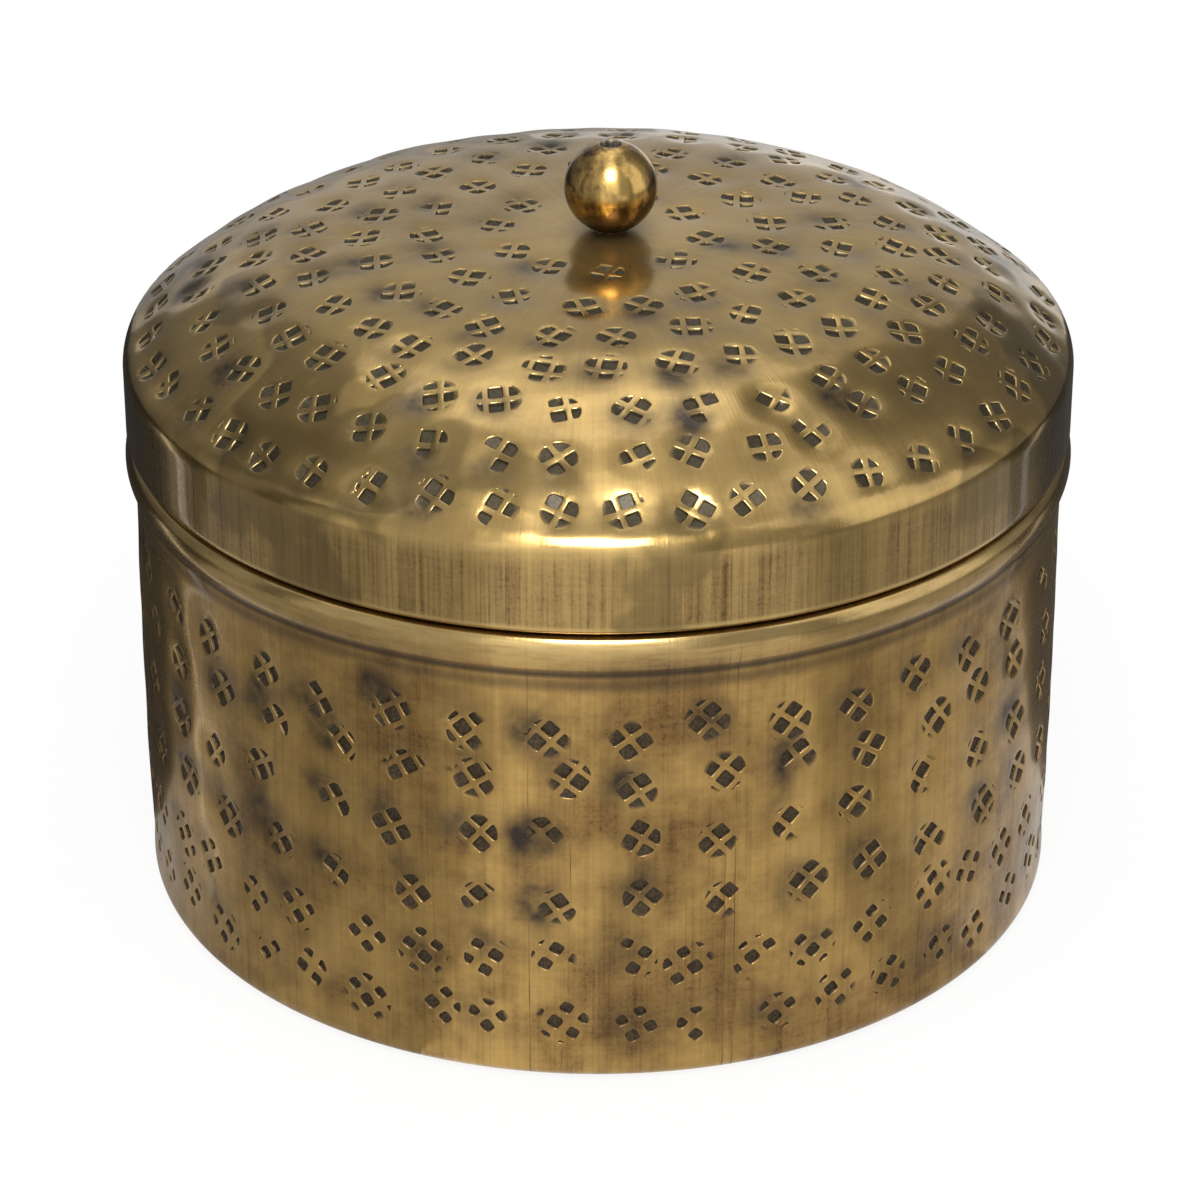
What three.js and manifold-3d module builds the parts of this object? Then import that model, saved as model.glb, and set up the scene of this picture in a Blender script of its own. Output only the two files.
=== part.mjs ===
// A round box of hammered sheet brass with a domed lift-off lid and a ball knob.
// Millimetres, +Z up. The origin is the centre of the underside, and +X is to the right seen from the front.
import * as THREE from 'three';
import { mergeVertices } from 'three/addons/utils/BufferGeometryUtils.js';
import Module from 'manifold-3d';

// Fits
const seatGap = 0.3; // between two faces that rest on each other
const lidFit = 0.35; // radial, between the neck and the lid's turned edge
const threadGap = 0.3; // radial, the thread's depth: the bore has its outer radius, the screw its inner one
const passGap = 0.4; // radial, between the screw and the lid or the washer

// Lid, one drawn sheet
const lidSheet = 0.9;
const skirtRadius = 92.5;
const skirtHeight = 14.9; // from the lowest edge to the start of the shoulder
const turnedEdgeRadius = 2.0; // the skirt's bottom edge is turned in by a quarter round
const shoulderRadius = 6.7;
const crownRise = 24.8; // from the start of the shoulder to the top
const crownPower = 4.3; // 2 would be a plain bowl; more is flatter in the middle and steeper at the shoulder

// Body, one drawn sheet
const bodySheet = 0.9;
const ledgeHeight = 95.65; // where the lid rests, above the underside
const ledgeFall = 0.3; // the ledge slopes down towards the bead
const ledgeEdgeRadius = 1.0; // between the ledge and the bead
const beadProud = 0.4; // the bead's crest beyond the lid's skirt
const beadDrop = 3.85; // from the ledge down to the crest
const beadRound = 8.0; // radius of the bead's section
const beadFillet = 1.2; // between the bead and the wall
const wallSetback = 1.2; // the wall's head inside the lid's skirt
const wallTaper = 0.1; // the wall's foot inside its head
const wallSwell = 0.8; // the wall is barrelled by this much at half height
const baseCornerRadius = 3.5;
const neckHeight = 12.9; // above the ledge
const neckFillet = 0.4; // between the ledge and the neck
const rimRadius = 1.4; // the neck's top edge is turned in by a quarter round

// Knob and its fastening
const knobOffset = 2.4; // the lid's hole is drilled by hand, a little to the right of the middle
const ballRadius = 9.0;
const ballSeatRadius = 2.8; // a small flat under the ball
const ballBoreRadius = 1.95;
const ballChamfer = 0.15; // at the bore's upper mouth
const screwEndDepth = 1.6; // the screw's end stops this far below the ball's upper mouth
const screwHeadRadius = 3.6;
const screwHeadHeight = 2.4;
const screwHeadRound = 1.4;
const slotWidth = 1.1;
const slotDepth = 1.1;
const washerRadius = 5.0;
const washerThickness = 0.8;

// Facets: segments round the axis, and steps along each stretch of a section
const shellSegments = 64;
const ballSegments = 32;
const screwSegments = 24;
const cornerSteps = 4;
const wallSteps = 6;
const smallFilletSteps = 2;
const beadSteps = 6;
const turnedEdgeSteps = 3;
const shoulderSteps = 5;
const crownSteps = 10;
const crownSpread = 1.4; // above 1, the crown's rings lie closer together towards the shoulder
const ballSteps = 16;
const screwHeadSteps = 4;

// Sizes that follow
const turnedEdgeInner = skirtRadius - turnedEdgeRadius;
const neckRadius = turnedEdgeInner - lidFit;
const beadCrestRadius = skirtRadius + beadProud;
const beadCrestHeight = ledgeHeight - beadDrop;
const wallHeadRadius = skirtRadius - wallSetback;
const wallFootRadius = wallHeadRadius - wallTaper;
const screwRadius = ballBoreRadius - threadGap;
const fastenerHoleRadius = screwRadius + passGap;
const ballCentreHeight = Math.sqrt(ballRadius ** 2 - ballSeatRadius ** 2); // above its seat
const ballMouthRadius = ballBoreRadius + ballChamfer;
const ballMouthHeight = ballCentreHeight + Math.sqrt(ballRadius ** 2 - ballMouthRadius ** 2);

// Points on an arc in the section plane; angles are in radians from the outward radius, up is positive.
function arc(centre, radius, from, to, steps) {
  const points = [];
  for (let i = 0; i <= steps; i += 1) {
    const angle = from + ((to - from) * i) / steps;
    points.push(new THREE.Vector2(centre.x + radius * Math.cos(angle), centre.y + radius * Math.sin(angle)));
  }
  return points;
}

// The sheet's other face: every point of the outer face moved inwards by the sheet's thickness.
function offsetInwards(outer, thickness) {
  return outer.map((point, i) => {
    const before = outer[Math.max(i - 1, 0)];
    const after = outer[Math.min(i + 1, outer.length - 1)];
    const intoPoint = point.clone().sub(before);
    const outOfPoint = after.clone().sub(point);
    const first = intoPoint.lengthSq() > 0 ? intoPoint.normalize() : outOfPoint.clone().normalize();
    const second = outOfPoint.lengthSq() > 0 ? outOfPoint.normalize() : first;
    const along = first.clone().add(second).normalize();
    const reach = thickness / Math.max(along.dot(first), 0.5);
    return new THREE.Vector2(point.x - along.y * reach, point.y + along.x * reach);
  });
}

// A solid turned about the Z axis from a section of (radius, height) points.
function revolve(section, segments) {
  const geometry = new THREE.LatheGeometry(section, segments);
  geometry.rotateX(Math.PI / 2);
  return geometry;
}

// A closed section that starts and ends on itself, for a ring.
function closed(section) {
  return [...section, section[0].clone()];
}

// The body's outer face, from the centre of the underside up to the rim.
function bodyOuterFace() {
  const corner = new THREE.Vector2(wallFootRadius - baseCornerRadius, baseCornerRadius);
  const bead = new THREE.Vector2(beadCrestRadius - beadRound, beadCrestHeight);

  // The fillet under the bead touches the bead's section and the wall's head.
  const filletRadius = wallHeadRadius + beadFillet;
  const filletReach = beadRound + beadFillet;
  const filletFall = Math.sqrt(filletReach ** 2 - (filletRadius - bead.x) ** 2);
  const fillet = new THREE.Vector2(filletRadius, bead.y - filletFall);
  const beadFootAngle = -Math.atan2(filletFall, filletRadius - bead.x);

  // The rounded edge between bead and ledge lies inside both.
  const edgeHeight = ledgeHeight - ledgeFall - ledgeEdgeRadius;
  const edgeReach = beadRound - ledgeEdgeRadius;
  const edge = new THREE.Vector2(bead.x + Math.sqrt(edgeReach ** 2 - (edgeHeight - bead.y) ** 2), edgeHeight);
  const beadHeadAngle = Math.atan2(edge.y - bead.y, edge.x - bead.x);

  const neckFoot = new THREE.Vector2(neckRadius + neckFillet, ledgeHeight + neckFillet);
  const rim = new THREE.Vector2(neckRadius - rimRadius, ledgeHeight + neckHeight - rimRadius);

  return [
    new THREE.Vector2(0, 0),
    ...arc(corner, baseCornerRadius, -Math.PI / 2, 0, cornerSteps),
    ...wallFace(corner.y, fillet.y, wallSteps),
    ...arc(fillet, beadFillet, Math.PI, Math.PI + beadFootAngle, smallFilletSteps),
    ...arc(bead, beadRound, beadFootAngle, beadHeadAngle, beadSteps).slice(1),
    ...arc(edge, ledgeEdgeRadius, beadHeadAngle, Math.PI / 2, smallFilletSteps).slice(1),
    ...arc(neckFoot, neckFillet, -Math.PI / 2, -Math.PI, smallFilletSteps),
    ...arc(rim, rimRadius, 0, Math.PI / 2, turnedEdgeSteps),
  ];
}

// The barrelled wall between two heights, without its two ends.
function wallFace(foot, head, steps) {
  const points = [];
  for (let i = 1; i < steps; i += 1) {
    const share = i / steps;
    const straight = wallFootRadius + (wallHeadRadius - wallFootRadius) * share;
    const swell = wallSwell * 4 * share * (1 - share);
    points.push(new THREE.Vector2(straight + swell, foot + (head - foot) * share));
  }
  return points;
}

// The angle at which the shoulder's arc runs into the crown without a kink.
function shoulderEndAngle() {
  let low = 0.05;
  let high = Math.PI / 2;
  for (let i = 0; i < 50; i += 1) {
    const angle = (low + high) / 2;
    const radius = skirtRadius - shoulderRadius + shoulderRadius * Math.cos(angle);
    const crownSlope = ((crownRise - shoulderRadius * Math.sin(angle)) * crownPower) / radius;
    if (1 / Math.tan(angle) > crownSlope) {
      low = angle;
    } else {
      high = angle;
    }
  }
  return (low + high) / 2;
}

// The lid's outer face, from the turned edge up to the top; height 0 is the lowest edge.
function lidOuterFace() {
  const turnedEdge = new THREE.Vector2(turnedEdgeInner, turnedEdgeRadius);
  const shoulder = new THREE.Vector2(skirtRadius - shoulderRadius, skirtHeight);
  const endAngle = shoulderEndAngle();
  const shoulderFace = arc(shoulder, shoulderRadius, 0, endAngle, shoulderSteps);
  return [
    ...arc(turnedEdge, turnedEdgeRadius, -Math.PI / 2, 0, turnedEdgeSteps),
    ...shoulderFace,
    ...crownFace(shoulderFace[shoulderFace.length - 1], crownSteps),
  ];
}

// The crown from the shoulder's end to the axis.
function crownFace(start, steps) {
  const top = skirtHeight + crownRise;
  const points = [];
  for (let i = 1; i <= steps; i += 1) {
    const share = 1 - (i / steps) ** crownSpread;
    points.push(new THREE.Vector2(start.x * share, top - (top - start.y) * share ** crownPower));
  }
  return points;
}

// The whole section of a sheet, from the axis to its edge and back, given its outer face.
function sheetSection(outer, thickness) {
  const inner = offsetInwards(outer, thickness);
  inner.forEach((point, i) => {
    if (outer[i].x === 0) {
      point.x = 0;
    }
  });
  inner.reverse();
  return outer[0].x === 0 ? [...outer, ...inner] : [...inner, ...outer];
}

const wasm = await Module();
wasm.setup();

// A closed three.js geometry as a solid that can be cut.
function toSolid(geometry) {
  const bare = geometry.clone();
  bare.deleteAttribute('normal');
  bare.deleteAttribute('uv');
  const merged = mergeVertices(bare, 1e-4);
  const vertProperties = new Float32Array(merged.attributes.position.array);
  const corners = Array.from(merged.index.array);
  const kept = [];
  for (let i = 0; i < corners.length; i += 3) {
    const [a, b, c] = corners.slice(i, i + 3);
    if (a !== b && b !== c && c !== a) {
      kept.push(a, b, c);
    }
  }
  return new wasm.Manifold(new wasm.Mesh({ numProp: 3, vertProperties, triVerts: new Uint32Array(kept) }));
}

// A cut solid back as a three.js geometry.
function toGeometry(solid) {
  const mesh = solid.getMesh();
  const geometry = new THREE.BufferGeometry();
  geometry.setAttribute('position', new THREE.BufferAttribute(new Float32Array(mesh.vertProperties), 3));
  geometry.setIndex(Array.from(mesh.triVerts));
  geometry.computeVertexNormals();
  return geometry;
}

// An upright round cutter through the given heights.
function upright(radius, foot, head, segments) {
  const geometry = new THREE.CylinderGeometry(radius, radius, head - foot, segments);
  geometry.rotateX(Math.PI / 2);
  geometry.translate(0, 0, (head + foot) / 2);
  return geometry;
}

function boxBodyGeometry() {
  return revolve(sheetSection(bodyOuterFace(), bodySheet), shellSegments);
}

function lidGeometry() {
  const shell = toSolid(revolve(sheetSection(lidOuterFace(), lidSheet), shellSegments));
  const top = skirtHeight + crownRise;
  const drill = upright(fastenerHoleRadius, top - lidSheet * 2, top + lidSheet, screwSegments);
  drill.translate(knobOffset, 0, 0);
  return toGeometry(shell.subtract(toSolid(drill)));
}

// The ball, bored through, with its seat at height 0.
function ballGeometry() {
  const centre = new THREE.Vector2(0, ballCentreHeight);
  const seatAngle = -Math.acos(ballSeatRadius / ballRadius);
  const mouthAngle = Math.acos(ballMouthRadius / ballRadius);
  return revolve(
    closed([
      new THREE.Vector2(ballBoreRadius, 0),
      ...arc(centre, ballRadius, seatAngle, mouthAngle, ballSteps),
      new THREE.Vector2(ballBoreRadius, ballMouthHeight - ballChamfer),
    ]),
    ballSegments,
  );
}

// The screw, with the underside of its head at height 0 and its shank pointing up.
function screwGeometry(shankLength) {
  const roundCentre = new THREE.Vector2(screwHeadRadius - screwHeadRound, screwHeadRound - screwHeadHeight);
  const shankEnd = shankLength - threadGap;
  const turned = revolve(
    [
      new THREE.Vector2(0, -screwHeadHeight),
      ...arc(roundCentre, screwHeadRound, -Math.PI / 2, 0, screwHeadSteps),
      new THREE.Vector2(screwHeadRadius, 0),
      new THREE.Vector2(screwRadius, 0),
      new THREE.Vector2(screwRadius, shankEnd),
      new THREE.Vector2(screwRadius - threadGap, shankLength),
      new THREE.Vector2(0, shankLength),
    ],
    screwSegments,
  );
  const slot = new THREE.BoxGeometry(screwHeadRadius * 3, slotWidth, slotDepth * 2);
  slot.translate(0, 0, -screwHeadHeight);
  return toGeometry(toSolid(turned).subtract(toSolid(slot)));
}

function washerGeometry() {
  return revolve(
    closed([
      new THREE.Vector2(fastenerHoleRadius, 0),
      new THREE.Vector2(washerRadius, 0),
      new THREE.Vector2(washerRadius, washerThickness),
      new THREE.Vector2(fastenerHoleRadius, washerThickness),
    ]),
    screwSegments,
  );
}

const agedBrass = { color: 0x967a4c, roughness: 0.38, metalness: 1.0 };
const polishedBrass = { color: 0xb0873c, roughness: 0.2, metalness: 1.0 };
const platedSteel = { color: 0x9a9586, roughness: 0.35, metalness: 1.0 };

function piece(name, geometry, look) {
  const mesh = new THREE.Mesh(geometry, new THREE.MeshStandardMaterial(look));
  mesh.name = name;
  return mesh;
}

// The knob stands on the lid's top; screw and washer hang under it. Heights are from the lid's lowest edge.
function knob() {
  const lidTop = skirtHeight + crownRise;
  const ballSeat = lidTop + seatGap;
  const washerFoot = lidTop - lidSheet - seatGap - washerThickness;
  const headSeat = washerFoot - seatGap;
  const shankLength = ballSeat + ballMouthHeight - screwEndDepth - headSeat;

  const group = new THREE.Group();
  const ball = piece('knob_ball', ballGeometry(), polishedBrass);
  ball.position.z = ballSeat;
  const washer = piece('knob_washer', washerGeometry(), platedSteel);
  washer.position.z = washerFoot;
  const screw = piece('knob_screw', screwGeometry(shankLength), platedSteel);
  screw.position.z = headSeat;
  group.add(ball, washer, screw);
  group.position.x = knobOffset;
  return group;
}

function lidAssembly() {
  const group = new THREE.Group();
  group.add(piece('lid', lidGeometry(), agedBrass), knob());
  group.position.z = ledgeHeight + seatGap;
  return group;
}

const box = new THREE.Group();
box.add(piece('box_body', boxBodyGeometry(), agedBrass), lidAssembly());

export default box;
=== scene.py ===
"""A round box of drawn and punched sheet brass, with a domed lift-off lid and a ball knob.

Body and lid are each one sheet. A sheet is first laid out flat, marked by a toothed punch, and then formed
along its section, as the real one is. The pieces' sizes are in millimetres until a mesh is made. Blender, the
finishes and the studio work in metres.
"""
from __future__ import annotations

import logging
import math
from dataclasses import dataclass, fields, replace
from enum import Enum
from typing import Any, Sequence

import bpy
import numpy as np
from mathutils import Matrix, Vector
from mathutils.geometry import delaunay_2d_cdt


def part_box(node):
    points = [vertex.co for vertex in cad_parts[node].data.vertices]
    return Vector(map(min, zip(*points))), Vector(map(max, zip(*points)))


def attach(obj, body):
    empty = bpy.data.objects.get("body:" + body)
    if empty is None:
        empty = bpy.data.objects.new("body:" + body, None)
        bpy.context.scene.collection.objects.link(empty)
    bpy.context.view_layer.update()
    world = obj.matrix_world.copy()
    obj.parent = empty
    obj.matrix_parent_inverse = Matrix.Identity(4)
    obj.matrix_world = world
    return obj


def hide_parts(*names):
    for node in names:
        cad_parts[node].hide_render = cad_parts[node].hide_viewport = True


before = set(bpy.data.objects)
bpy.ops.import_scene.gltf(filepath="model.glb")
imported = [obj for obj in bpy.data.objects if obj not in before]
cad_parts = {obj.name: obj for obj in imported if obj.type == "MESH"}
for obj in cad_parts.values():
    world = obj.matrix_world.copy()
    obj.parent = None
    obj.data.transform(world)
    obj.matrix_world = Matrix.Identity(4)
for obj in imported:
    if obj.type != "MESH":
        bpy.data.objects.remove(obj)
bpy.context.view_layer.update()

log = logging.getLogger("brass_box")
MM = 0.001
TAU = 2.0 * math.pi
BACK = math.pi / 2  # the turn angle of the sheet's seam, at the box's back

Point = tuple[float, float]
Place = tuple[float, float, float]
Colour = tuple[float, float, float, float]
Socket = bpy.types.NodeSocket
Node = bpy.types.Node
Tree = bpy.types.NodeTree
Mesh = bpy.types.Mesh
Item = bpy.types.Object
Finish = bpy.types.Material
Array = np.ndarray


class Graph:
    """A node tree that is being built: nodes are added with their settings and inputs in one call."""

    def __init__(self, tree: Tree) -> None:
        """Starts on an empty tree.

        Args:
            tree: The tree of a material, a world or a Geometry Nodes group.
        """
        self.tree = tree
        tree.nodes.clear()

    def add(self, kind: str, inputs: dict[str | int, Any] | None = None, **settings: Any) -> Node:
        """Adds a node.

        Args:
            kind: The node's type name.
            inputs: For each input, by name or number, a value or the socket that feeds it.
            **settings: The node's own properties.

        Returns:
            The new node.
        """
        node = self.tree.nodes.new(kind)
        for name, value in settings.items():
            setattr(node, name, value)
        for key, value in (inputs or {}).items():
            self.feed(node.inputs[key], value)
        return node

    def feed(self, socket: Socket, value: Any) -> None:
        """Links a socket to another, or sets its value.

        Args:
            socket: The input.
            value: What feeds it.
        """
        if isinstance(value, Socket):
            self.tree.links.new(value, socket)
        else:
            socket.default_value = value

    def math(self, operation: str, *values: Any, clamp: bool = False) -> Socket:
        """Adds a Math node and gives its result."""
        node = self.add("ShaderNodeMath", dict(enumerate(values)), operation=operation, use_clamp=clamp)
        return node.outputs[0]

    def plus(self, one: Any, other: Any, clamp: bool = False) -> Socket:
        """Gives a sum."""
        return self.math("ADD", one, other, clamp=clamp)

    def minus(self, one: Any, other: Any, clamp: bool = False) -> Socket:
        """Gives a difference."""
        return self.math("SUBTRACT", one, other, clamp=clamp)

    def times(self, one: Any, other: Any, clamp: bool = False) -> Socket:
        """Gives a product."""
        return self.math("MULTIPLY", one, other, clamp=clamp)

    def larger(self, one: Any, other: Any) -> Socket:
        """Gives the larger of two numbers."""
        return self.math("MAXIMUM", one, other)

    def apart(self, one: Any, other: Any) -> Socket:
        """Gives how far two numbers are apart."""
        return self.math("ABSOLUTE", self.minus(one, other))

    def vector(self, operation: str, *values: Any) -> Socket:
        """Adds a Vector Math node and gives its vector."""
        return self.add("ShaderNodeVectorMath", dict(enumerate(values)), operation=operation).outputs["Vector"]

    def scale(self, vector: Any, factor: Any) -> Socket:
        """Gives a vector times a number."""
        inputs = {"Vector": vector, "Scale": factor}
        return self.add("ShaderNodeVectorMath", inputs, operation="SCALE").outputs["Vector"]

    def length(self, vector: Any) -> Socket:
        """Gives a vector's length."""
        return self.add("ShaderNodeVectorMath", {0: vector}, operation="LENGTH").outputs["Value"]

    def combined(self, **parts: Any) -> Socket:
        """Gives the vector with the given X, Y and Z, and 0 for those not given."""
        return self.add("ShaderNodeCombineXYZ", parts).outputs[0]

    def split(self, vector: Any) -> Sequence[Socket]:
        """Gives a vector's X, Y and Z."""
        return self.add("ShaderNodeSeparateXYZ", {0: vector}).outputs

    def remap(self, value: Any, low: float, high: float, to_low: float = 0.0, to_high: float = 1.0,
              smooth: bool = False) -> Socket:
        """Gives a value moved from one range to another, and kept inside it.

        Args:
            value: The value.
            low: One end of its own range.
            high: The other end.
            to_low: What low becomes.
            to_high: What high becomes.
            smooth: Whether it eases in and out.

        Returns:
            The new value.
        """
        kind = "SMOOTHSTEP" if smooth else "LINEAR"
        inputs = {0: value, 1: low, 2: high, 3: to_low, 4: to_high}
        return self.add("ShaderNodeMapRange", inputs, interpolation_type=kind).outputs[0]

    def noise(self, vector: Any, scale: Any, detail: float, rough: float = 0.5) -> Socket:
        """Adds a Noise Texture and gives its value."""
        inputs = {"Vector": vector, "Scale": scale, "Detail": detail, "Roughness": rough}
        return self.add("ShaderNodeTexNoise", inputs).outputs[0]

    def mix(self, share: Any, low: Any, high: Any) -> Socket:
        """Mixes two colours by the share of the second one."""
        return self.add("ShaderNodeMix", {"Factor": share, 6: low, 7: high}, data_type="RGBA").outputs[2]

    def output(self, kind: str, shader: Node) -> None:
        """Ends the tree of a material or a world with a shader."""
        self.add(kind, {0: shader.outputs[0]})


def new_material(name: str, kind: type[Graph] = Graph) -> tuple[Finish, Any]:
    """Makes a material.

    Args:
        name: Its name.
        kind: The kind of graph that it gets.

    Returns:
        The material and its graph.
    """
    made = bpy.data.materials.new(name)
    made.use_nodes = True
    return made, kind(made.node_tree)


class GeometryGraph(Graph):
    """A Geometry Nodes group with named inputs."""

    def __init__(self, name: str, inputs: Sequence[tuple[str, str, Any]]) -> None:
        """Makes the group, with one geometry in and one out.

        Args:
            name: The group's name.
            inputs: For each further input its name, the end of its socket's type name, and what it starts at.
        """
        super().__init__(bpy.data.node_groups.new(name, "GeometryNodeTree"))
        self.sockets: dict[str, str] = {}
        for title, kind, start in (("Geometry", "Geometry", None), *inputs):
            socket = self.tree.interface.new_socket(title, in_out="INPUT", socket_type="NodeSocket" + kind)
            if start is not None:
                socket.default_value = start
            self.sockets[title] = socket.identifier
        self.tree.interface.new_socket("Geometry", in_out="OUTPUT", socket_type="NodeSocketGeometry")
        self.entry = self.add("NodeGroupInput")
        self.exit = self.add("NodeGroupOutput")

    def given(self, name: str) -> Socket:
        """Gives the group input of that name."""
        return self.entry.outputs[name]

    def stored(self, name: str, kind: str = "FLOAT") -> Socket:
        """Gives the field of a stored attribute."""
        return self.add("GeometryNodeInputNamedAttribute", {"Name": name}, data_type=kind).outputs[0]

    def store(self, geometry: Any, name: str, value: Any, kind: str = "FLOAT") -> Socket:
        """Stores a field on the points of a geometry and gives the geometry."""
        inputs = {"Geometry": geometry, "Name": name, "Value": value}
        return self.add("GeometryNodeStoreNamedAttribute", inputs, domain="POINT", data_type=kind).outputs[0]

    def place(self) -> Socket:
        """Gives the field of the points' places."""
        return self.add("GeometryNodeInputPosition").outputs[0]

    def chance(self, low: Any, high: Any, seed: Any, kind: str = "FLOAT") -> Socket:
        """Gives a random number or vector between two limits.

        Args:
            low: The lower limit.
            high: The upper limit.
            seed: Its own seed.
            kind: Whether it is a number or a vector.

        Returns:
            The random value.
        """
        node = self.add("FunctionNodeRandomValue", data_type=kind)
        live = [socket for socket in node.inputs if socket.enabled]
        for socket, value in zip(live, (low, high)):
            self.feed(socket, value)
        self.feed(next(socket for socket in live if socket.name == "Seed"), seed)
        return next(socket for socket in node.outputs if socket.enabled)

    def finish(self, geometry: Any) -> None:
        """Ends the group: realizes what is instanced and sets the material."""
        realized = self.add("GeometryNodeRealizeInstances", {"Geometry": geometry}).outputs[0]
        inputs = {"Geometry": realized, "Material": self.given("Material")}
        dressed = self.add("GeometryNodeSetMaterial", inputs)
        self.tree.links.new(dressed.outputs[0], self.exit.inputs[0])

    def run(self, piece: Item, values: dict[str, Any]) -> Mesh:
        """Runs the group on an object and gives the result as a plain mesh.

        Args:
            piece: The object that carries the modifier meanwhile.
            values: A value for each named input.

        Returns:
            The new mesh; the modifier is gone again.
        """
        modifier = piece.modifiers.new(self.tree.name, "NODES")
        modifier.node_group = self.tree
        for name, value in values.items():
            modifier[self.sockets[name]] = value
        bpy.context.view_layer.update()
        graph = bpy.context.evaluated_depsgraph_get()
        mesh = bpy.data.meshes.new_from_object(
            piece.evaluated_get(graph), preserve_all_data_layers=True, depsgraph=graph
        )
        piece.modifiers.remove(modifier)
        return mesh


def node_box(node: str) -> tuple[Vector, Vector]:
    """Gives a CAD node's lowest and highest corners, in millimetres."""
    low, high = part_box(node)
    return low / MM, high / MM


def new_object(name: str, data: Any) -> Item:
    """Puts an object with new data into the scene, and gives it."""
    made = bpy.data.objects.new(name, data)
    bpy.context.scene.collection.objects.link(made)
    return made


def poly_curve(name: str, lines: Sequence[Sequence[Place]], cyclic: bool) -> Item:
    """Makes a curve object of straight-segment splines.

    Args:
        name: The object's name.
        lines: The points of each spline, in millimetres.
        cyclic: Whether each spline closes on itself.

    Returns:
        The object.
    """
    curve = bpy.data.curves.new(name, "CURVE")
    curve.dimensions = "3D"
    for line in lines:
        spline = curve.splines.new("POLY")
        spline.points.add(len(line) - 1)
        for point, place in zip(spline.points, line):
            point.co = (place[0] * MM, place[1] * MM, place[2] * MM, 1.0)
        spline.use_cyclic_u = cyclic
    return new_object(name, curve)


def drop(helper: Item) -> None:
    """Deletes a helper curve and its data."""
    curve = helper.data
    bpy.data.objects.remove(helper)
    bpy.data.curves.remove(curve)


def vertex_places(mesh: Mesh) -> Array:
    """Gives the places of a mesh's vertices, in metres."""
    places = np.zeros(len(mesh.vertices) * 3)
    mesh.vertices.foreach_get("co", places)
    return places.reshape(-1, 3)


def volume(mesh: Mesh) -> float:
    """Gives a closed mesh's volume, negative if its faces point inwards.

    Args:
        mesh: The mesh.

    Returns:
        The volume, in cubic metres.
    """
    mesh.calc_loop_triangles()
    places = vertex_places(mesh)
    corners = np.zeros(len(mesh.loop_triangles) * 3, np.int32)
    mesh.loop_triangles.foreach_get("vertices", corners)
    a, b, c = (places[corners.reshape(-1, 3)[:, i]] for i in range(3))
    return float((a * np.cross(b, c)).sum() / 6)


def arc(centre: Point, radius: float, start: float, end: float, step: float = 0.35) -> list[Point]:
    """Gives points on an arc in the section plane.

    Args:
        centre: Its centre, as (radius from the axis, height).
        radius: Its radius.
        start: The first angle from the outward direction, in radians; up is positive.
        end: The last angle.
        step: The longest distance between points.

    Returns:
        The points.
    """
    count = max(3, math.ceil(abs(end - start) * radius / step))
    angles = [start + (end - start) * i / count for i in range(count + 1)]
    return [(centre[0] + radius * math.cos(a), centre[1] + radius * math.sin(a)) for a in angles]


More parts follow.
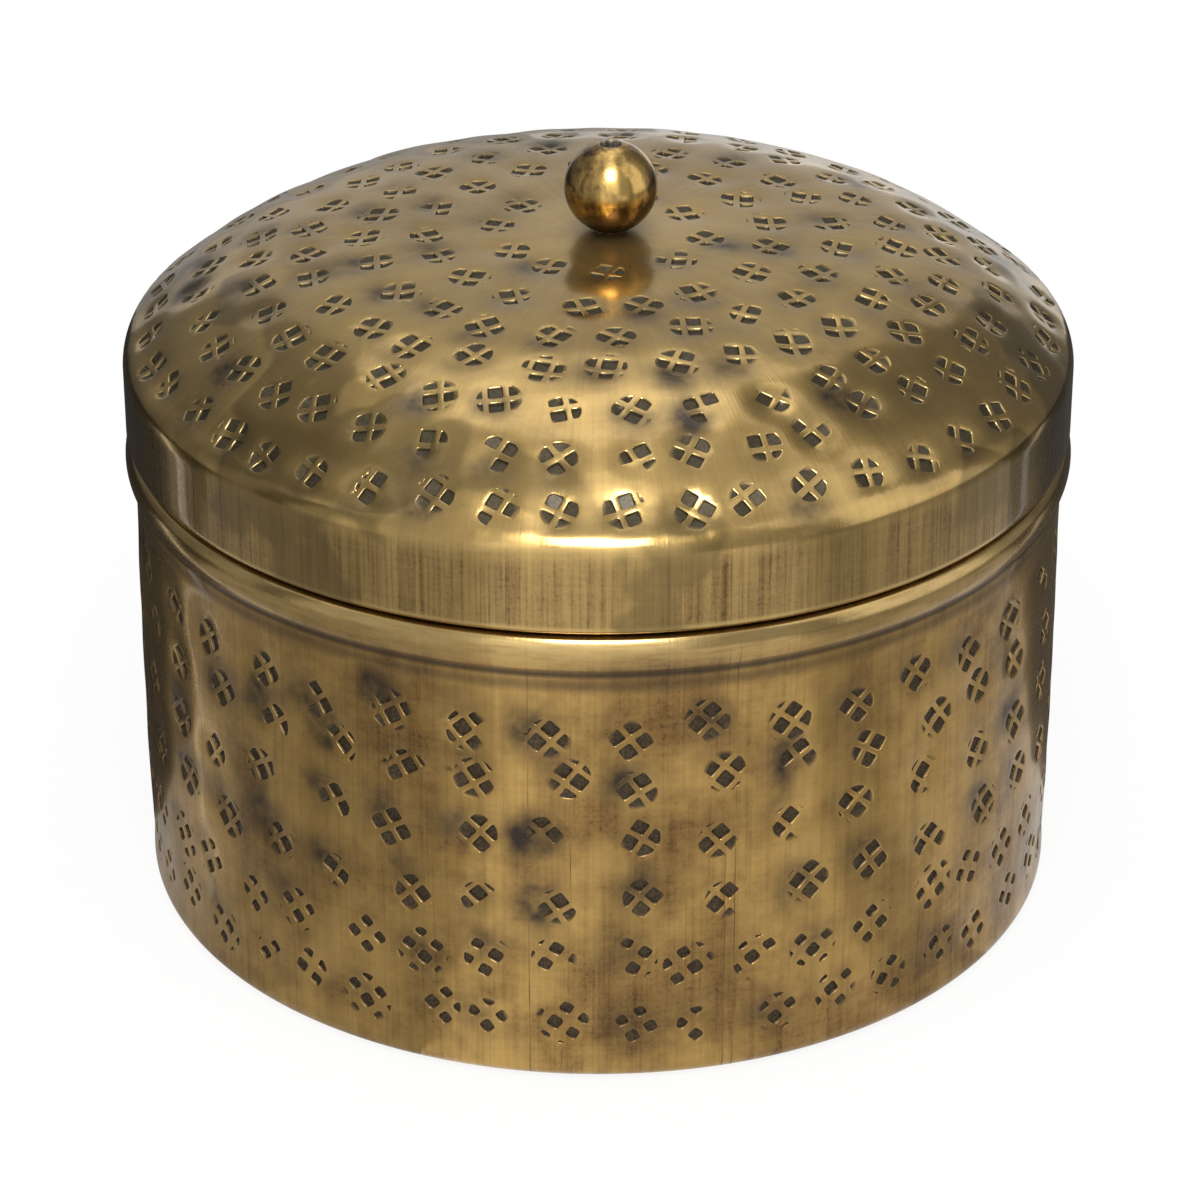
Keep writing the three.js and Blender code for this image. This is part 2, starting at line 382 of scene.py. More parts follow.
class Section:
    """A sheet's whole section: from the axis along its outer face to the edge, and back along the inner one."""

    SAME_POINT = 1e-4  # points of the outer face closer together than this are one
    SHARPEST = 0.5  # the least cosine that a corner's inner point is moved by
    END_MARGIN = 0.05  # how close to a stretch's end its last point may lie

    def __init__(self, outer: list[Point], thickness: float) -> None:
        """Lays the inner face a sheet's thickness inside the outer one.

        Args:
            outer: The outer face's points, from the axis to the sheet's edge.
            thickness: The sheet's thickness.
        """
        apart = [i == 0 or math.dist(p, outer[i - 1]) > self.SAME_POINT for i, p in enumerate(outer)]
        face = np.array([p for p, kept in zip(outer, apart) if kept])
        steps = np.diff(face, axis=0)
        steps /= np.linalg.norm(steps, axis=1)[:, None]
        before = np.vstack([steps[:1], steps])
        after = np.vstack([steps, steps[-1:]])
        along = before + after
        along /= np.linalg.norm(along, axis=1)[:, None]
        self.outward_sign = 1.0 if face[-1, 1] > face[0, 1] else -1.0
        inward = np.stack([-along[:, 1], along[:, 0]], 1) * self.outward_sign
        reach = thickness / np.maximum((along * before).sum(1), self.SHARPEST)
        inner = face + inward * reach[:, None]
        inner[0, 0] = 0.0
        self.points = np.vstack([face, inner[::-1]])
        lengths = np.linalg.norm(np.diff(self.points, axis=0), axis=1)
        self.along = np.concatenate([[0.0], np.cumsum(lengths)])
        self.edge = self.along[len(face) - 1]
        self.outer_count = int(np.searchsorted(self.along, self.edge)) + 1

    @property
    def length(self) -> float:
        """The whole length of the section."""
        return float(self.along[-1])

    def at(self, along: float) -> Point:
        """Gives the point at a length along the section."""
        return (float(np.interp(along, self.along, self.points[:, 0])),
                float(np.interp(along, self.along, self.points[:, 1])))

    def outer_length(self, radius: float | None = None, height: float | None = None) -> float:
        """Finds a place on the outer face by its radius or its height.

        Args:
            radius: The radius where the face is first met, or None.
            height: The height where the face is first met, or None.

        Returns:
            The length along the section.
        """
        values = self.points[:self.outer_count, 0 if radius is not None else 1]
        wanted = radius if radius is not None else height
        signs = np.sign(values - wanted)
        first = int(np.nonzero(signs[:-1] * signs[1:] <= 0)[0][0])
        share = (wanted - values[first]) / (values[first + 1] - values[first])
        return float(self.along[first] + share * (self.along[first + 1] - self.along[first]))

    def inner_length(self, outer_length: float) -> float:
        """Gives the length up to the place on the inner face that backs a place on the outer face."""
        radius, height = self.at(outer_length)
        inner = self.points[self.outer_count:]
        gaps = np.hypot(inner[:, 0] - radius, inner[:, 1] - height)
        return float(self.along[self.outer_count + int(np.argmin(gaps))])

    def stops(self, start: float, end: float, spacing: float) -> list[float]:
        """Gives the section's own points between two lengths, with both ends.

        Args:
            start: The first length.
            end: The last length.
            spacing: Points closer together than this are left out.

        Returns:
            The lengths.
        """
        kept = [start]
        for value in self.along:
            inside = start + self.END_MARGIN < value < end - self.END_MARGIN
            if inside and value - kept[-1] >= spacing:
                kept.append(float(value))
        return [*kept, end]

    def as_curve(self, name: str) -> Item:
        """Makes a curve object of the section in the XZ plane."""
        return poly_curve(name, [[(r, 0.0, z) for r, z in self.points]], cyclic=False)


@dataclass
class Strikes:
    """The marks that punch strokes leave on a flat sheet, and where and how hard each stroke falls."""

    outlines: list[Array]
    owners: Array
    centres: Array
    reaches: Array
    force: Array
    # stain: how dark each strike's halo of soot and painted shade is
    stain: Array
    tilt: Array
    lean: Array

    @classmethod
    def joined(cls, groups: Sequence[Strikes]) -> Strikes:
        """Puts several groups of strikes together.

        Args:
            groups: The groups, whose owners number the strikes of their own group.

        Returns:
            All strikes, with the owners numbered through.
        """
        shift, owners = 0, []
        for group in groups:
            owners.append(group.owners + shift)
            shift += len(group.centres)
        outlines = [outline for group in groups for outline in group.outlines]
        rest = [np.concatenate([getattr(group, one.name) for group in groups]) for one in fields(cls)[2:]]
        return cls(outlines, np.concatenate(owners), *rest)


class PunchTree(GeometryGraph):
    """Strikes a toothed punch along guide lines on the flat sheet, and keeps the teeth that bite."""

    TOOTH_CORNERS = 40
    TEETH_ACROSS = 5
    SLIP = (0.14, 0.86)  # how far the grid of teeth may be off the stroke's centre, in shares of its pitch

    def __init__(self) -> None:
        """Builds the tree: guide lines in, outlines of the teeth's marks out."""
        super().__init__("punch_strikes", (
            ("Spacing", "Float", 0.013), ("Jitter", "Float", 0.001),
            ("Grid Angle", "Float", 0.0), ("Grid Spread", "Float", 0.5),
            ("Reach", "Float", 0.004), ("Reach Spread", "Float", 0.0005),
            ("Tooth", "Float", 0.0027), ("Pitch", "Float", 0.0038), ("Squareness", "Float", 9.0),
            ("Least Area", "Float", 1e-6), ("Seed", "Int", 0), ("Material", "Material", None),
        ))
        self.finish(self._bitten(self._teeth_on(self._strike_points())))

    def _varied(self, name: str, spread: str, seed: int) -> Socket:
        """Gives a group input, changed at random by up to its spread."""
        change = self.times(self.given(spread), self.chance(-1.0, 1.0, self._seed(seed)))
        return self.plus(self.given(name), change)

    def _seed(self, shift: int) -> Socket:
        """Gives a seed that differs for each use."""
        return self.plus(self.given("Seed"), float(shift))

    def _strike_points(self) -> Socket:
        """Spaces the strikes along the lines, each a little off its place.

        Returns:
            The points, which know their own place, reach and number.
        """
        spaced = self.add("GeometryNodeResampleCurve", mode="LENGTH")
        self.feed(spaced.inputs["Curve"], self.given("Geometry"))
        self.feed(spaced.inputs["Length"], self.given("Spacing"))
        points = self.add("GeometryNodeCurveToPoints", {"Curve": spaced.outputs[0]}, mode="EVALUATED")
        wander = self.chance((-1.0, -1.0, 0.0), (1.0, 1.0, 0.0), self._seed(1), "FLOAT_VECTOR")
        moved = self.add("GeometryNodeSetPosition", {
            "Geometry": points.outputs[0], "Offset": self.scale(wander, self.given("Jitter")),
        })
        marked = self.store(moved.outputs[0], "strike", self.place(), "FLOAT_VECTOR")
        marked = self.store(marked, "reach", self._varied("Reach", "Reach Spread", 2))
        return self.store(marked, "owner", self.add("GeometryNodeInputIndex").outputs[0], "INT")

    def _tooth_grid(self) -> Socket:
        """Makes the punch's face.

        Returns:
            A square grid of rounded square teeth.
        """
        corners = {"Vertices": self.TOOTH_CORNERS, "Radius": 1.0}
        ring = self.add("GeometryNodeMeshCircle", corners, fill_type="NGON")
        place = self.place()
        parts = self.split(place)
        power = self.given("Squareness")
        across, up = (self.math("POWER", self.math("ABSOLUTE", parts[i]), power) for i in range(2))
        norm = self.math("POWER", self.plus(across, up), self.math("DIVIDE", 1.0, power))
        half = self.times(self.given("Tooth"), 0.5)
        squared = self.add("GeometryNodeSetPosition", {
            "Geometry": ring.outputs[0], "Position": self.scale(place, self.math("DIVIDE", half, norm)),
        })
        width = self.times(self.given("Pitch"), float(self.TEETH_ACROSS - 1))
        grid = self.add("GeometryNodeMeshGrid", {
            "Size X": width, "Size Y": width, "Vertices X": self.TEETH_ACROSS, "Vertices Y": self.TEETH_ACROSS,
        })
        teeth = self.add("GeometryNodeInstanceOnPoints", {
            "Points": grid.outputs[0], "Instance": squared.outputs[0],
        })
        return self.add("GeometryNodeRealizeInstances", {"Geometry": teeth.outputs[0]}).outputs[0]

    def _teeth_on(self, points: Any) -> Socket:
        """Sets the punch's face down at each strike, turned and shifted at random.

        Args:
            points: The strikes.

        Returns:
            The outlines of all teeth.
        """
        turn = self._varied("Grid Angle", "Grid Spread", 3)
        placed = self.add("GeometryNodeInstanceOnPoints", {
            "Points": points, "Instance": self._tooth_grid(), "Rotation": self.combined(Z=turn),
        })
        low, high = self.SLIP
        slip = self.chance((low, low, 0.0), (high, high, 0.0), self._seed(4), "FLOAT_VECTOR")
        slid = self.add("GeometryNodeTranslateInstances", {
            "Instances": placed.outputs[0], "Translation": self.scale(slip, self.given("Pitch")),
        })
        return self.add("GeometryNodeRealizeInstances", {"Geometry": slid.outputs[0]}).outputs[0]

    def _bitten(self, struck: Any) -> Socket:
        """Cuts the marks off at the round rim of the punch, and leaves out those with nothing left.

        Args:
            struck: The outlines of all teeth.

        Returns:
            The outlines of the teeth that bite.
        """
        centre = self.stored("strike", "FLOAT_VECTOR")
        arm = self.vector("SUBTRACT", self.place(), centre)
        short = self.math("MINIMUM", self.length(arm), self.stored("reach"))
        drawn_in = self.vector("ADD", centre, self.scale(self.vector("NORMALIZE", arm), short))
        clipped = self.add("GeometryNodeSetPosition", {"Geometry": struck, "Position": drawn_in})
        area = self.add("GeometryNodeInputMeshFaceArea").outputs[0]
        small = self.add("FunctionNodeCompare", data_type="FLOAT", operation="LESS_THAN")
        self.feed(small.inputs[0], area)
        self.feed(small.inputs[1], self.given("Least Area"))
        kept = {"Geometry": clipped.outputs[0], "Selection": small.outputs[0]}
        return self.add("GeometryNodeDeleteGeometry", kept, domain="FACE").outputs[0]


class FormingTree(GeometryGraph):
    """Forms a flat sheet along a section curve, and presses in what is stored as pressed."""

    SEED_STEP = 7.31  # how far the ripples' noise is shifted from seed to seed
    RIPPLE_DETAIL = 1.5

    def __init__(self) -> None:
        """Builds the tree: the flat sheet in, the formed sheet out."""
        super().__init__("form_sheet", (
            ("Section", "Object", None), ("Outward", "Float", 1.0),
            ("Ripple", "Float", 0.0002), ("Ripple Size", "Float", 0.03), ("Seed", "Int", 0),
            ("Weld", "Float", 0.00001), ("Material", "Material", None),
        ))
        given = {"Object": self.given("Section")}
        curve = self.add("GeometryNodeObjectInfo", given, transform_space="ORIGINAL")
        sample = self.add("GeometryNodeSampleCurve", mode="LENGTH", use_all_curves=False, data_type="FLOAT")
        for name, value in (("Curves", curve.outputs["Geometry"]), ("Length", self.stored("along"))):
            self.feed(next(socket for socket in sample.inputs if socket.name == name), value)
        spot, heading = self.split(sample.outputs["Position"]), self.split(sample.outputs["Tangent"])
        base = self._revolved(spot[0], spot[2])
        outward = self.given("Outward")
        sideways = self.times(self.times(heading[0], -1.0), outward)
        normal = self._revolved(self.times(heading[2], outward), sideways)
        press = self.plus(self.stored("press"), self.times(self._ripple(base), self.stored("limp")))
        formed = self.add("GeometryNodeSetPosition", {
            "Geometry": self.given("Geometry"),
            "Position": self.vector("SUBTRACT", base, self.scale(normal, press)),
        })
        welded = self.add("GeometryNodeMergeByDistance", {
            "Geometry": formed.outputs[0], "Distance": self.given("Weld"),
        })
        self.finish(welded.outputs[0])

    def _revolved(self, radius: Any, height: Any) -> Socket:
        """Gives the place with a radius and a height at each point's turn round the axis."""
        turn = self.stored("turn")
        cosine, sine = self.math("COSINE", turn), self.math("SINE", turn)
        return self.combined(X=self.times(radius, cosine), Y=self.times(radius, sine), Z=height)

    def _ripple(self, base: Any) -> Socket:
        """Gives how far the sheet is out of true at each of its formed places."""
        seed = self.times(self.given("Seed"), self.SEED_STEP)
        shifted = self.vector("ADD", base, self.combined(X=seed))
        fineness = self.math("DIVIDE", 1.0, self.given("Ripple Size"))
        return self.times(self.noise(shifted, fineness, self.RIPPLE_DETAIL), self.given("Ripple"))


def simplified(outline: Array, least: float, most: int) -> Array:
    """Takes out the points of an outline that matter least.

    Args:
        outline: The points, in order.
        least: Points that span a smaller triangle with their neighbours go, in square millimetres.
        most: At most this many points stay.

    Returns:
        The points that stay.
    """
    points = list(outline)
    while len(points) > 4:
        now = np.array(points)
        a, b = np.roll(now, 1, 0) - now, np.roll(now, -1, 0) - now
        spans = np.abs(a[:, 0] * b[:, 1] - a[:, 1] * b[:, 0]) / 2
        worst = int(np.argmin(spans))
        if spans[worst] > least and len(points) <= most:
            break
        points.pop(worst)
    return np.array(points)


def grown(outline: Array, distance: float) -> Array:
    """Moves a counter-clockwise outline's edges outwards.

    Args:
        outline: The points, in order.
        distance: How far; inwards if it is negative.

    Returns:
        The moved points, which keep closer at sharp corners.
    """
    tiny, sharpest = 1e-9, 0.6
    edges = np.roll(outline, -1, 0) - outline
    edges /= np.maximum(np.linalg.norm(edges, axis=1), tiny)[:, None]
    outward = np.stack([edges[:, 1], -edges[:, 0]], 1)
    mean = outward + np.roll(outward, 1, 0)
    mean /= np.maximum(np.linalg.norm(mean, axis=1), tiny)[:, None]
    reach = distance / np.maximum((mean * outward).sum(1), sharpest)
    return outline + mean * reach[:, None]


def signed_area(outline: Array) -> float:
    """Gives an outline's area, positive if it runs counter-clockwise."""
    x, y = outline[:, 0], outline[:, 1]
    return float((x * np.roll(y, -1) - y * np.roll(x, -1)).sum() / 2)


def round_loop(numbers: Sequence[int]) -> list[tuple[int, int]]:
    """Gives the edges that close a ring of vertices."""
    return [(one, numbers[(i + 1) % len(numbers)]) for i, one in enumerate(numbers)]


@dataclass(frozen=True)
class Punch:
    """One way of striking: how far apart, how deep and how evenly. Lengths are in millimetres."""

    spacing: float
    jitter: float
    grid_angle: float
    grid_spread: float
    reach: float
    reach_spread: float
    tooth: float
    pitch: float
    squareness: float
    seed: int
    bite: float = 0.5
    taper: float = 0.3
    taper_power: float = 1.5
    dent: float = 0.4
    dent_range: tuple[float, float] = (0.35, 1.0)
    # stain: how dark the strike's halo of soot and painted shade is
    stain: float = 1.0
    stain_power: float = 1.3
    tilt: float = 0.8
    slant: tuple[float, float] = (1.4, -1.4)
    slant_range: tuple[float, float] = (0.3, 1.4)
    stray: float = 0.9
    least_area: float = 0.7
    least_corner: float = 0.012
    most_corners: int = 12

    def strike(self, tree: PunchTree, lines: Sequence[Sequence[Place]], cyclic: bool) -> Strikes:
        """Strikes along guide lines on the flat sheet.

        Args:
            tree: The tree that lays the strikes out.
            lines: The guide lines' points.
            cyclic: Whether the lines close on themselves.

        Returns:
            The marks.
        """
        guide = poly_curve("guide", lines, cyclic)
        mesh = tree.run(guide, {
            "Spacing": self.spacing * MM, "Jitter": self.jitter * MM,
            "Grid Angle": self.grid_angle, "Grid Spread": self.grid_spread,
            "Reach": self.reach * MM, "Reach Spread": self.reach_spread * MM,
            "Tooth": self.tooth * MM, "Pitch": self.pitch * MM, "Squareness": self.squareness,
            "Least Area": self.least_area * MM * MM, "Seed": self.seed,
        })
        drop(guide)
        places = vertex_places(mesh)[:, :2] / MM
        strike, reach = np.zeros(len(places) * 3), np.zeros(len(places))
        owner = np.zeros(len(places), np.int32)
        mesh.attributes["strike"].data.foreach_get("vector", strike)
        mesh.attributes["reach"].data.foreach_get("value", reach)
        mesh.attributes["owner"].data.foreach_get("value", owner)
        strike = strike.reshape(-1, 3)[:, :2] / MM
        outlines, owners = [], []
        for face in mesh.polygons:
            corners = list(face.vertices)
            outlines.append(self._mark(places[corners], strike[corners[0]], reach[corners[0]]))
            owners.append(int(owner[corners[0]]))
        bpy.data.meshes.remove(mesh)
        names, first = np.unique(owner, return_index=True)
        number = {int(name): i for i, name in enumerate(names)}
        owners = np.array([number[name] for name in owners])
        return self._weighed(outlines, owners, strike[first], reach[first] / MM, cyclic)

    def _mark(self, outline: Array, strike: Array, reach: float) -> Array:
        """Shapes the mark of one tooth, which is smaller the farther out the tooth is.

        Args:
            outline: The tooth's outline.
            strike: The strike's centre.
            reach: The strike's reach, in metres.

        Returns:
            The mark's outline, counter-clockwise.
        """
        mark = simplified(outline, self.least_corner, self.most_corners)
        middle = mark.mean(0)
        away = float(np.linalg.norm(middle - strike) * MM / reach)
        mark = middle + (mark - middle) * (1.0 - self.taper * min(away, 1.0) ** self.taper_power)
        return mark if signed_area(mark) > 0 else mark[::-1]

    def _weighed(self, outlines: list[Array], owners: Array, centres: Array, reaches: Array,
                 cyclic: bool) -> Strikes:
        """Gives each strike its own slant, force and stain.

        Args:
            outlines: The marks' outlines.
            owners: The strike that each mark belongs to.
            centres: The strikes' centres.
            reaches: The strikes' reaches.
            cyclic: Whether the strikes go round the axis of a disc.

        Returns:
            The strikes.
        """
        random, count = np.random.default_rng(self.seed), len(centres)
        ahead = centres / np.linalg.norm(centres, axis=1)[:, None] if cyclic else np.array([[1.0, 0.0]])
        across = np.stack([-ahead[:, 1], ahead[:, 0]], 1)
        slant = self.slant[0] * ahead + self.slant[1] * across
        lean = slant * random.uniform(*self.slant_range, count)[:, None]
        slopes, ways = self.tilt * random.uniform(0.0, 1.0, count), random.uniform(0.0, TAU, count)
        force = random.uniform(*self.dent_range, count) * self.dent
        stain = self.stain * random.uniform(0.0, 1.0, count) ** self.stain_power
        lean = lean + random.uniform(-self.stray, self.stray, (count, 2))
        tilt = slopes[:, None] * np.stack([np.cos(ways), np.sin(ways)], 1)
        return Strikes(outlines, owners, centres, reaches, force, stain, tilt, lean)


class FlatSheet:
    """A sheet laid out flat, as a mesh whose vertices know their place along the section and round the axis."""

    FIELDS = ("along", "turn", "press", "pit", "halo", "wear", "limp")
    LENGTHS = ("along", "press")
    SPREAD = 50.0  # the flat sheet's width for each radian round the axis

    def __init__(self, section: Section) -> None:
        """Starts an empty sheet.

        Args:
            section: The section that the sheet is later formed to.
        """
        self.section = section
        self.columns: dict[str, list[Array]] = {name: [] for name in self.FIELDS}
        self.faces: list[tuple[int, ...]] = []
        self.sharp: set[tuple[int, int]] = set()
        self.count = 0

    def points(self, **given: Array) -> int:
        """Adds vertices.

        Args:
            **given: Their lengths along the section and turns round the axis, and any of the other fields.

        Returns:
            The number of the first one.
        """
        start, added = self.count, len(given["along"])
        for name, column in self.columns.items():
            column.append(np.asarray(given.get(name, np.zeros(added)), float))
        self.count += added
        return start

    def rings(self, stops: Sequence[float], around: int) -> None:
        """Adds plain rings of quads.

        Args:
            stops: The rings' lengths along the section.
            around: How many vertices each ring has.
        """
        turns = BACK + TAU * np.arange(around) / around
        start = self.points(along=np.repeat(np.array(stops), around), turn=np.tile(turns, len(stops)))
        for i in range(len(stops) - 1):
            for a, b in round_loop(range(start + i * around, start + (i + 1) * around)):
                self.faces.append((a, a + around, b + around, b))

    def mesh(self, name: str) -> Mesh:
        """Makes the flat mesh, with its attributes, ready for forming.

        Args:
            name: The mesh's name.

        Returns:
            The mesh.
        """
        mesh = bpy.data.meshes.new(name)
        columns = {key: np.concatenate(value) for key, value in self.columns.items()}
        flat = np.stack([columns["along"], columns["turn"] * self.SPREAD, np.zeros(self.count)], 1) * MM
        mesh.from_pydata(flat.tolist(), [], self.faces)
        for key, values in columns.items():
            layer = mesh.attributes.new(key, "FLOAT", "POINT")
            layer.data.foreach_set("value", (values * (MM if key in self.LENGTHS else 1.0)).astype(np.float32))
        mesh.shade_smooth()
        flags = np.array([tuple(sorted(edge.vertices)) in self.sharp for edge in mesh.edges])
        layer = mesh.attributes.get("sharp_edge") or mesh.attributes.new("sharp_edge", "BOOLEAN", "EDGE")
        layer.data.foreach_set("value", flags)
        return mesh


class Shape(Enum):
    """The flat outline of a stretch of sheet."""

    DISC_AT_START = "a disc round the axis, where the section starts"
    DISC_AT_END = "a disc round the axis, where the section ends"
    BAND = "a band right round the axis"


@dataclass
class Ring:
    """A closed line of points on the flat sheet, and what its points carry."""

    points: Array
    press: Array
    floor: Array
    wear: Array
    is_floor: bool


@dataclass
class Stretch:
    """A stretch of sheet that is filled with small triangles, and may be struck. Lengths are in millimetres."""

    shape: Shape
    start: float
    end: float
    around: int
    lattice: float
    girth_radius: float = 0.0
    hole: Point | None = None  # its place along X and its radius
    back: bool = False
    limp: float = 1.0
    strikes: Strikes | None = None
    bite: float = 0.5

    lip: float = 0.15  # the width of a mark's rounded lip
    lip_press: float = 0.04
    lip_wear: float = 0.5
    inset: float = 0.17  # how far a mark's floor is inside its edge
    inset_share: float = 0.55  # the same for narrow marks, as a share of their width
    full_bite: float = 1.06
    least_bite: float = 0.1
    bite_power: float = 2.6
    lifted_from: float = 0.34  # how far up the punch's tilt its teeth no longer bite
    edge_margin: float = 0.35
    bare_margin: float = 8.5  # the unmarked ring round the hole
    ridge: float = 0.43  # the least ridge between marks of different strikes
    hole_corners: int = 24

    dent_radius: float = 3.7
    dent_share: float = 0.72
    dent_lean: float = 0.8
    dish_radius: float = 7.5
    dish_share: float = 0.38
    dent_limit: float = 18.0
    # The halo: soot round each strike, and painted shade shifted to the side where its dent slopes down.
    halo_radius: float = 4.7
    halo_share: float = 1.5
    halo_lean: float = 1.9
    fade: float = 5.0
    seat_radius: float = 4.0
    seat_fade: float = 6.0

    @property
    def is_band(self) -> bool:
        """Whether the stretch is a band."""
        return self.shape is Shape.BAND

    @property
    def girth(self) -> float:
        """The band's length round the axis, laid flat."""
        return TAU * self.girth_radius

    @property
    def disc_radius(self) -> float:
        """The flat radius of a disc."""
        return self.end - self.start

    def lay(self, sheet: FlatSheet) -> list[int]:
        """Triangulates the stretch, with the punch's marks in it, and adds it to the sheet.

        Args:
            sheet: The sheet that it becomes part of.

        Returns:
            The vertices round the hole, if there is one.
        """
        pits = [] if self.back or self.strikes is None else self._pits()
        rings = [ring for outline, owner in pits for ring in self._pit_rings(outline, owner)]
        parts = [self._border(), self._hole_ring(), *[ring.points for ring in rings], self._lattice(pits)]
        firsts = np.cumsum([0] + [len(part) for part in parts]).tolist()
        loops = [range(firsts[i], firsts[i + 1]) for i in range(len(parts) - 1)]
        edges = [edge for loop in (loops[1:] if self.is_band else loops) for edge in round_loop(loop)]
        places, _, faces, sources, _, _ = delaunay_2d_cdt(
            [Vector(p) for p in np.vstack(parts)], edges, [], 0, 1e-5, True
        )
        placed = np.array([tuple(place) for place in places])
        source = np.array([found[0] if found else -1 for found in sources])
        before, after = np.zeros(firsts[2]), np.zeros(len(parts[-1]))
        carried = []
        for name in ("press", "floor", "wear"):
            values = np.concatenate([before, *[getattr(ring, name) for ring in rings], after])
            carried.append(np.where(source >= 0, values[source], 0.0))
        press, floor, wear = carried
        dents, halo = self._dents(placed)
        along, turn = self._unrolled(placed)
        side = -1.0 if self.back else 1.0
        start = sheet.points(
            along=along, turn=turn, press=side * dents + press, pit=floor, wear=wear, halo=np.clip(halo, 0, 1),
            limp=self._fade(placed) * side * self.limp,
        )
        for corners, gone in zip(faces, self._in_hole(placed, faces)):
            if not gone:
                numbers = [start + corner for corner in corners]
                sheet.faces.append(tuple(numbers[::-1] if self.shape is Shape.DISC_AT_END else numbers))
        number = {int(found): start + i for i, found in enumerate(source) if found >= 0}
        for loop, ring in zip(loops[2:], rings):
            if ring.is_floor:
                there = [number[i] for i in loop if i in number]
                sheet.sharp.update(tuple(sorted(edge)) for edge in round_loop(there))
        return [number[i] for i in loops[1]]

    def _border(self) -> Array:
        """Gives the border's points: round a disc, or along a band's two edges and both sides of its seam."""
        if not self.is_band:
            turns = BACK + TAU * np.arange(self.around) / self.around
            return np.stack([self.disc_radius * np.cos(turns), self.disc_radius * np.sin(turns)], 1)
        steps = np.arange(self.around + 1) / self.around * self.girth
        rows = max(2, round((self.end - self.start) / self.lattice))
        side = np.linspace(self.start, self.end, rows + 1)[1:-1]
        return np.vstack([
            *[np.stack([np.full_like(steps, edge), steps], 1) for edge in (self.start, self.end)],
            *[np.stack([side, np.full_like(side, turn)], 1) for turn in (0.0, self.girth)],
        ])

    def _hole_ring(self) -> Array:
        """Gives the points round the hole, if there is one."""
        if self.hole is None:
            return np.zeros((0, 2))
        angles = TAU * np.arange(self.hole_corners) / self.hole_corners
        return np.stack([self.hole[0] + self.hole[1] * np.cos(angles), self.hole[1] * np.sin(angles)], 1)

    def _pit_rings(self, outline: Array, owner: int) -> list[Ring]:
        """Gives the three lines that shape a mark: its lip, its edge and its floor.

        Args:
            outline: The mark's outline.
            owner: The strike that it belongs to.

        Returns:
            The rings, from the outside in.
        """
        edges = np.roll(outline, -1, 0) - outline
        width = 2.0 * abs(signed_area(outline)) / max(float(np.linalg.norm(edges, axis=1).sum()), 1e-6)
        inset = min(self.inset, self.inset_share * width)
        rings = []
        for offset, press, floor, wear in ((self.lip, 0.0, 0.0, self.lip_wear), (0.0, self.lip_press, 0.0, 1.0),
                                           (-inset, self.bite, 1.0, 0.0)):
            ring = grown(outline, offset)
            arm = (ring - self.strikes.centres[owner]) / self.strikes.reaches[owner]
            share = self.full_bite - np.linalg.norm(arm, axis=1) ** self.bite_power
            share = np.clip(share - arm @ self.strikes.tilt[owner], self.least_bite, 1.0)
            rings.append(Ring(ring, press * share, floor * share, wear * share, floor > 0))
        return rings

    def _unrolled(self, placed: Array) -> tuple[Array, Array]:
        """Gives each flat point's length along the section and its angle round the axis."""
        if self.is_band:
            return placed[:, 0], BACK + TAU * placed[:, 1] / self.girth
        radius = np.hypot(placed[:, 0], placed[:, 1])
        along = self.start + radius if self.shape is Shape.DISC_AT_START else self.end - radius
        return along, np.arctan2(placed[:, 1], placed[:, 0])

    def _pits(self) -> list[tuple[Array, int]]:
        """Keeps the marks that lie well inside the stretch and clear of each other.

        Returns:
            The marks' outlines, each with the number of its strike.
        """
        kept: list[tuple[Array, int]] = []
        centres = np.zeros((0, 2))
        struck, near = self.strikes, 5.0
        for outline, owner in zip(struck.outlines, struck.owners):
            middle = outline.mean(0)
            lifted = (middle - struck.centres[owner]) @ struck.tilt[owner] / struck.reaches[owner]
            if not self._has_room(outline) or lifted > self.lifted_from:
                continue
            close = np.nonzero(np.hypot(*(centres - middle).T) < near)[0]
            if any(self._touching(outline, kept[i][0]) for i in close if kept[i][1] != owner):
                continue
            kept.append((outline, int(owner)))
            centres = np.vstack([centres, middle])
        return kept

    def _has_room(self, outline: Array) -> bool:
        """Tells whether a mark lies well inside the stretch and clear of the knob's seat."""
        spare = self.lip + self.edge_margin
        if self.is_band:
            low, high = outline.min(0), outline.max(0)
            return bool(low[0] > self.start + spare and high[0] < self.end - spare
                        and low[1] > spare and high[1] < self.girth - spare)
        inside = np.hypot(outline[:, 0], outline[:, 1]).max() < self.disc_radius - spare
        if self.hole is None:
            return bool(inside)
        away = np.hypot(outline[:, 0] - self.hole[0], outline[:, 1]).min()
        return bool(inside and away > self.hole[1] + self.bare_margin)

    def _touching(self, one: Array, other: Array) -> bool:
        """Tells whether two marks of different strikes lie too close together for a ridge."""
        gaps = np.linalg.norm(one[:, None] - other[None], axis=2)
        size = np.linalg.norm(other - other.mean(0), axis=1).max()
        return bool(gaps.min() < self.ridge or np.linalg.norm(one.mean(0) - other.mean(0)) < size)

    def _lattice(self, pits: list[tuple[Array, int]]) -> Array:
        """Gives a triangular lattice over the stretch.

        Args:
            pits: The marks, each with the number of its strike.

        Returns:
            The points that are clear of the border, the hole and the marks.
        """
        points = self._band_lattice() if self.is_band else self._disc_lattice()
        clear = np.ones(len(points), bool)
        for outline, _ in pits:
            centre = outline.mean(0)
            size = np.linalg.norm(outline - centre, axis=1).max()
            arm = points - centre
            near = np.nonzero(np.hypot(arm[:, 0], arm[:, 1]) < size + self.lip + 0.7)[0]
            fence = grown(outline, self.lip + 0.4)
            edge = np.roll(fence, -1, 0) - fence
            offset = points[near][:, None] - fence[None]
            outside = (offset[..., 0] * edge[None, :, 1] - offset[..., 1] * edge[None, :, 0]) > 0
            clear[near[~outside.any(1)]] = False
        return points[clear]

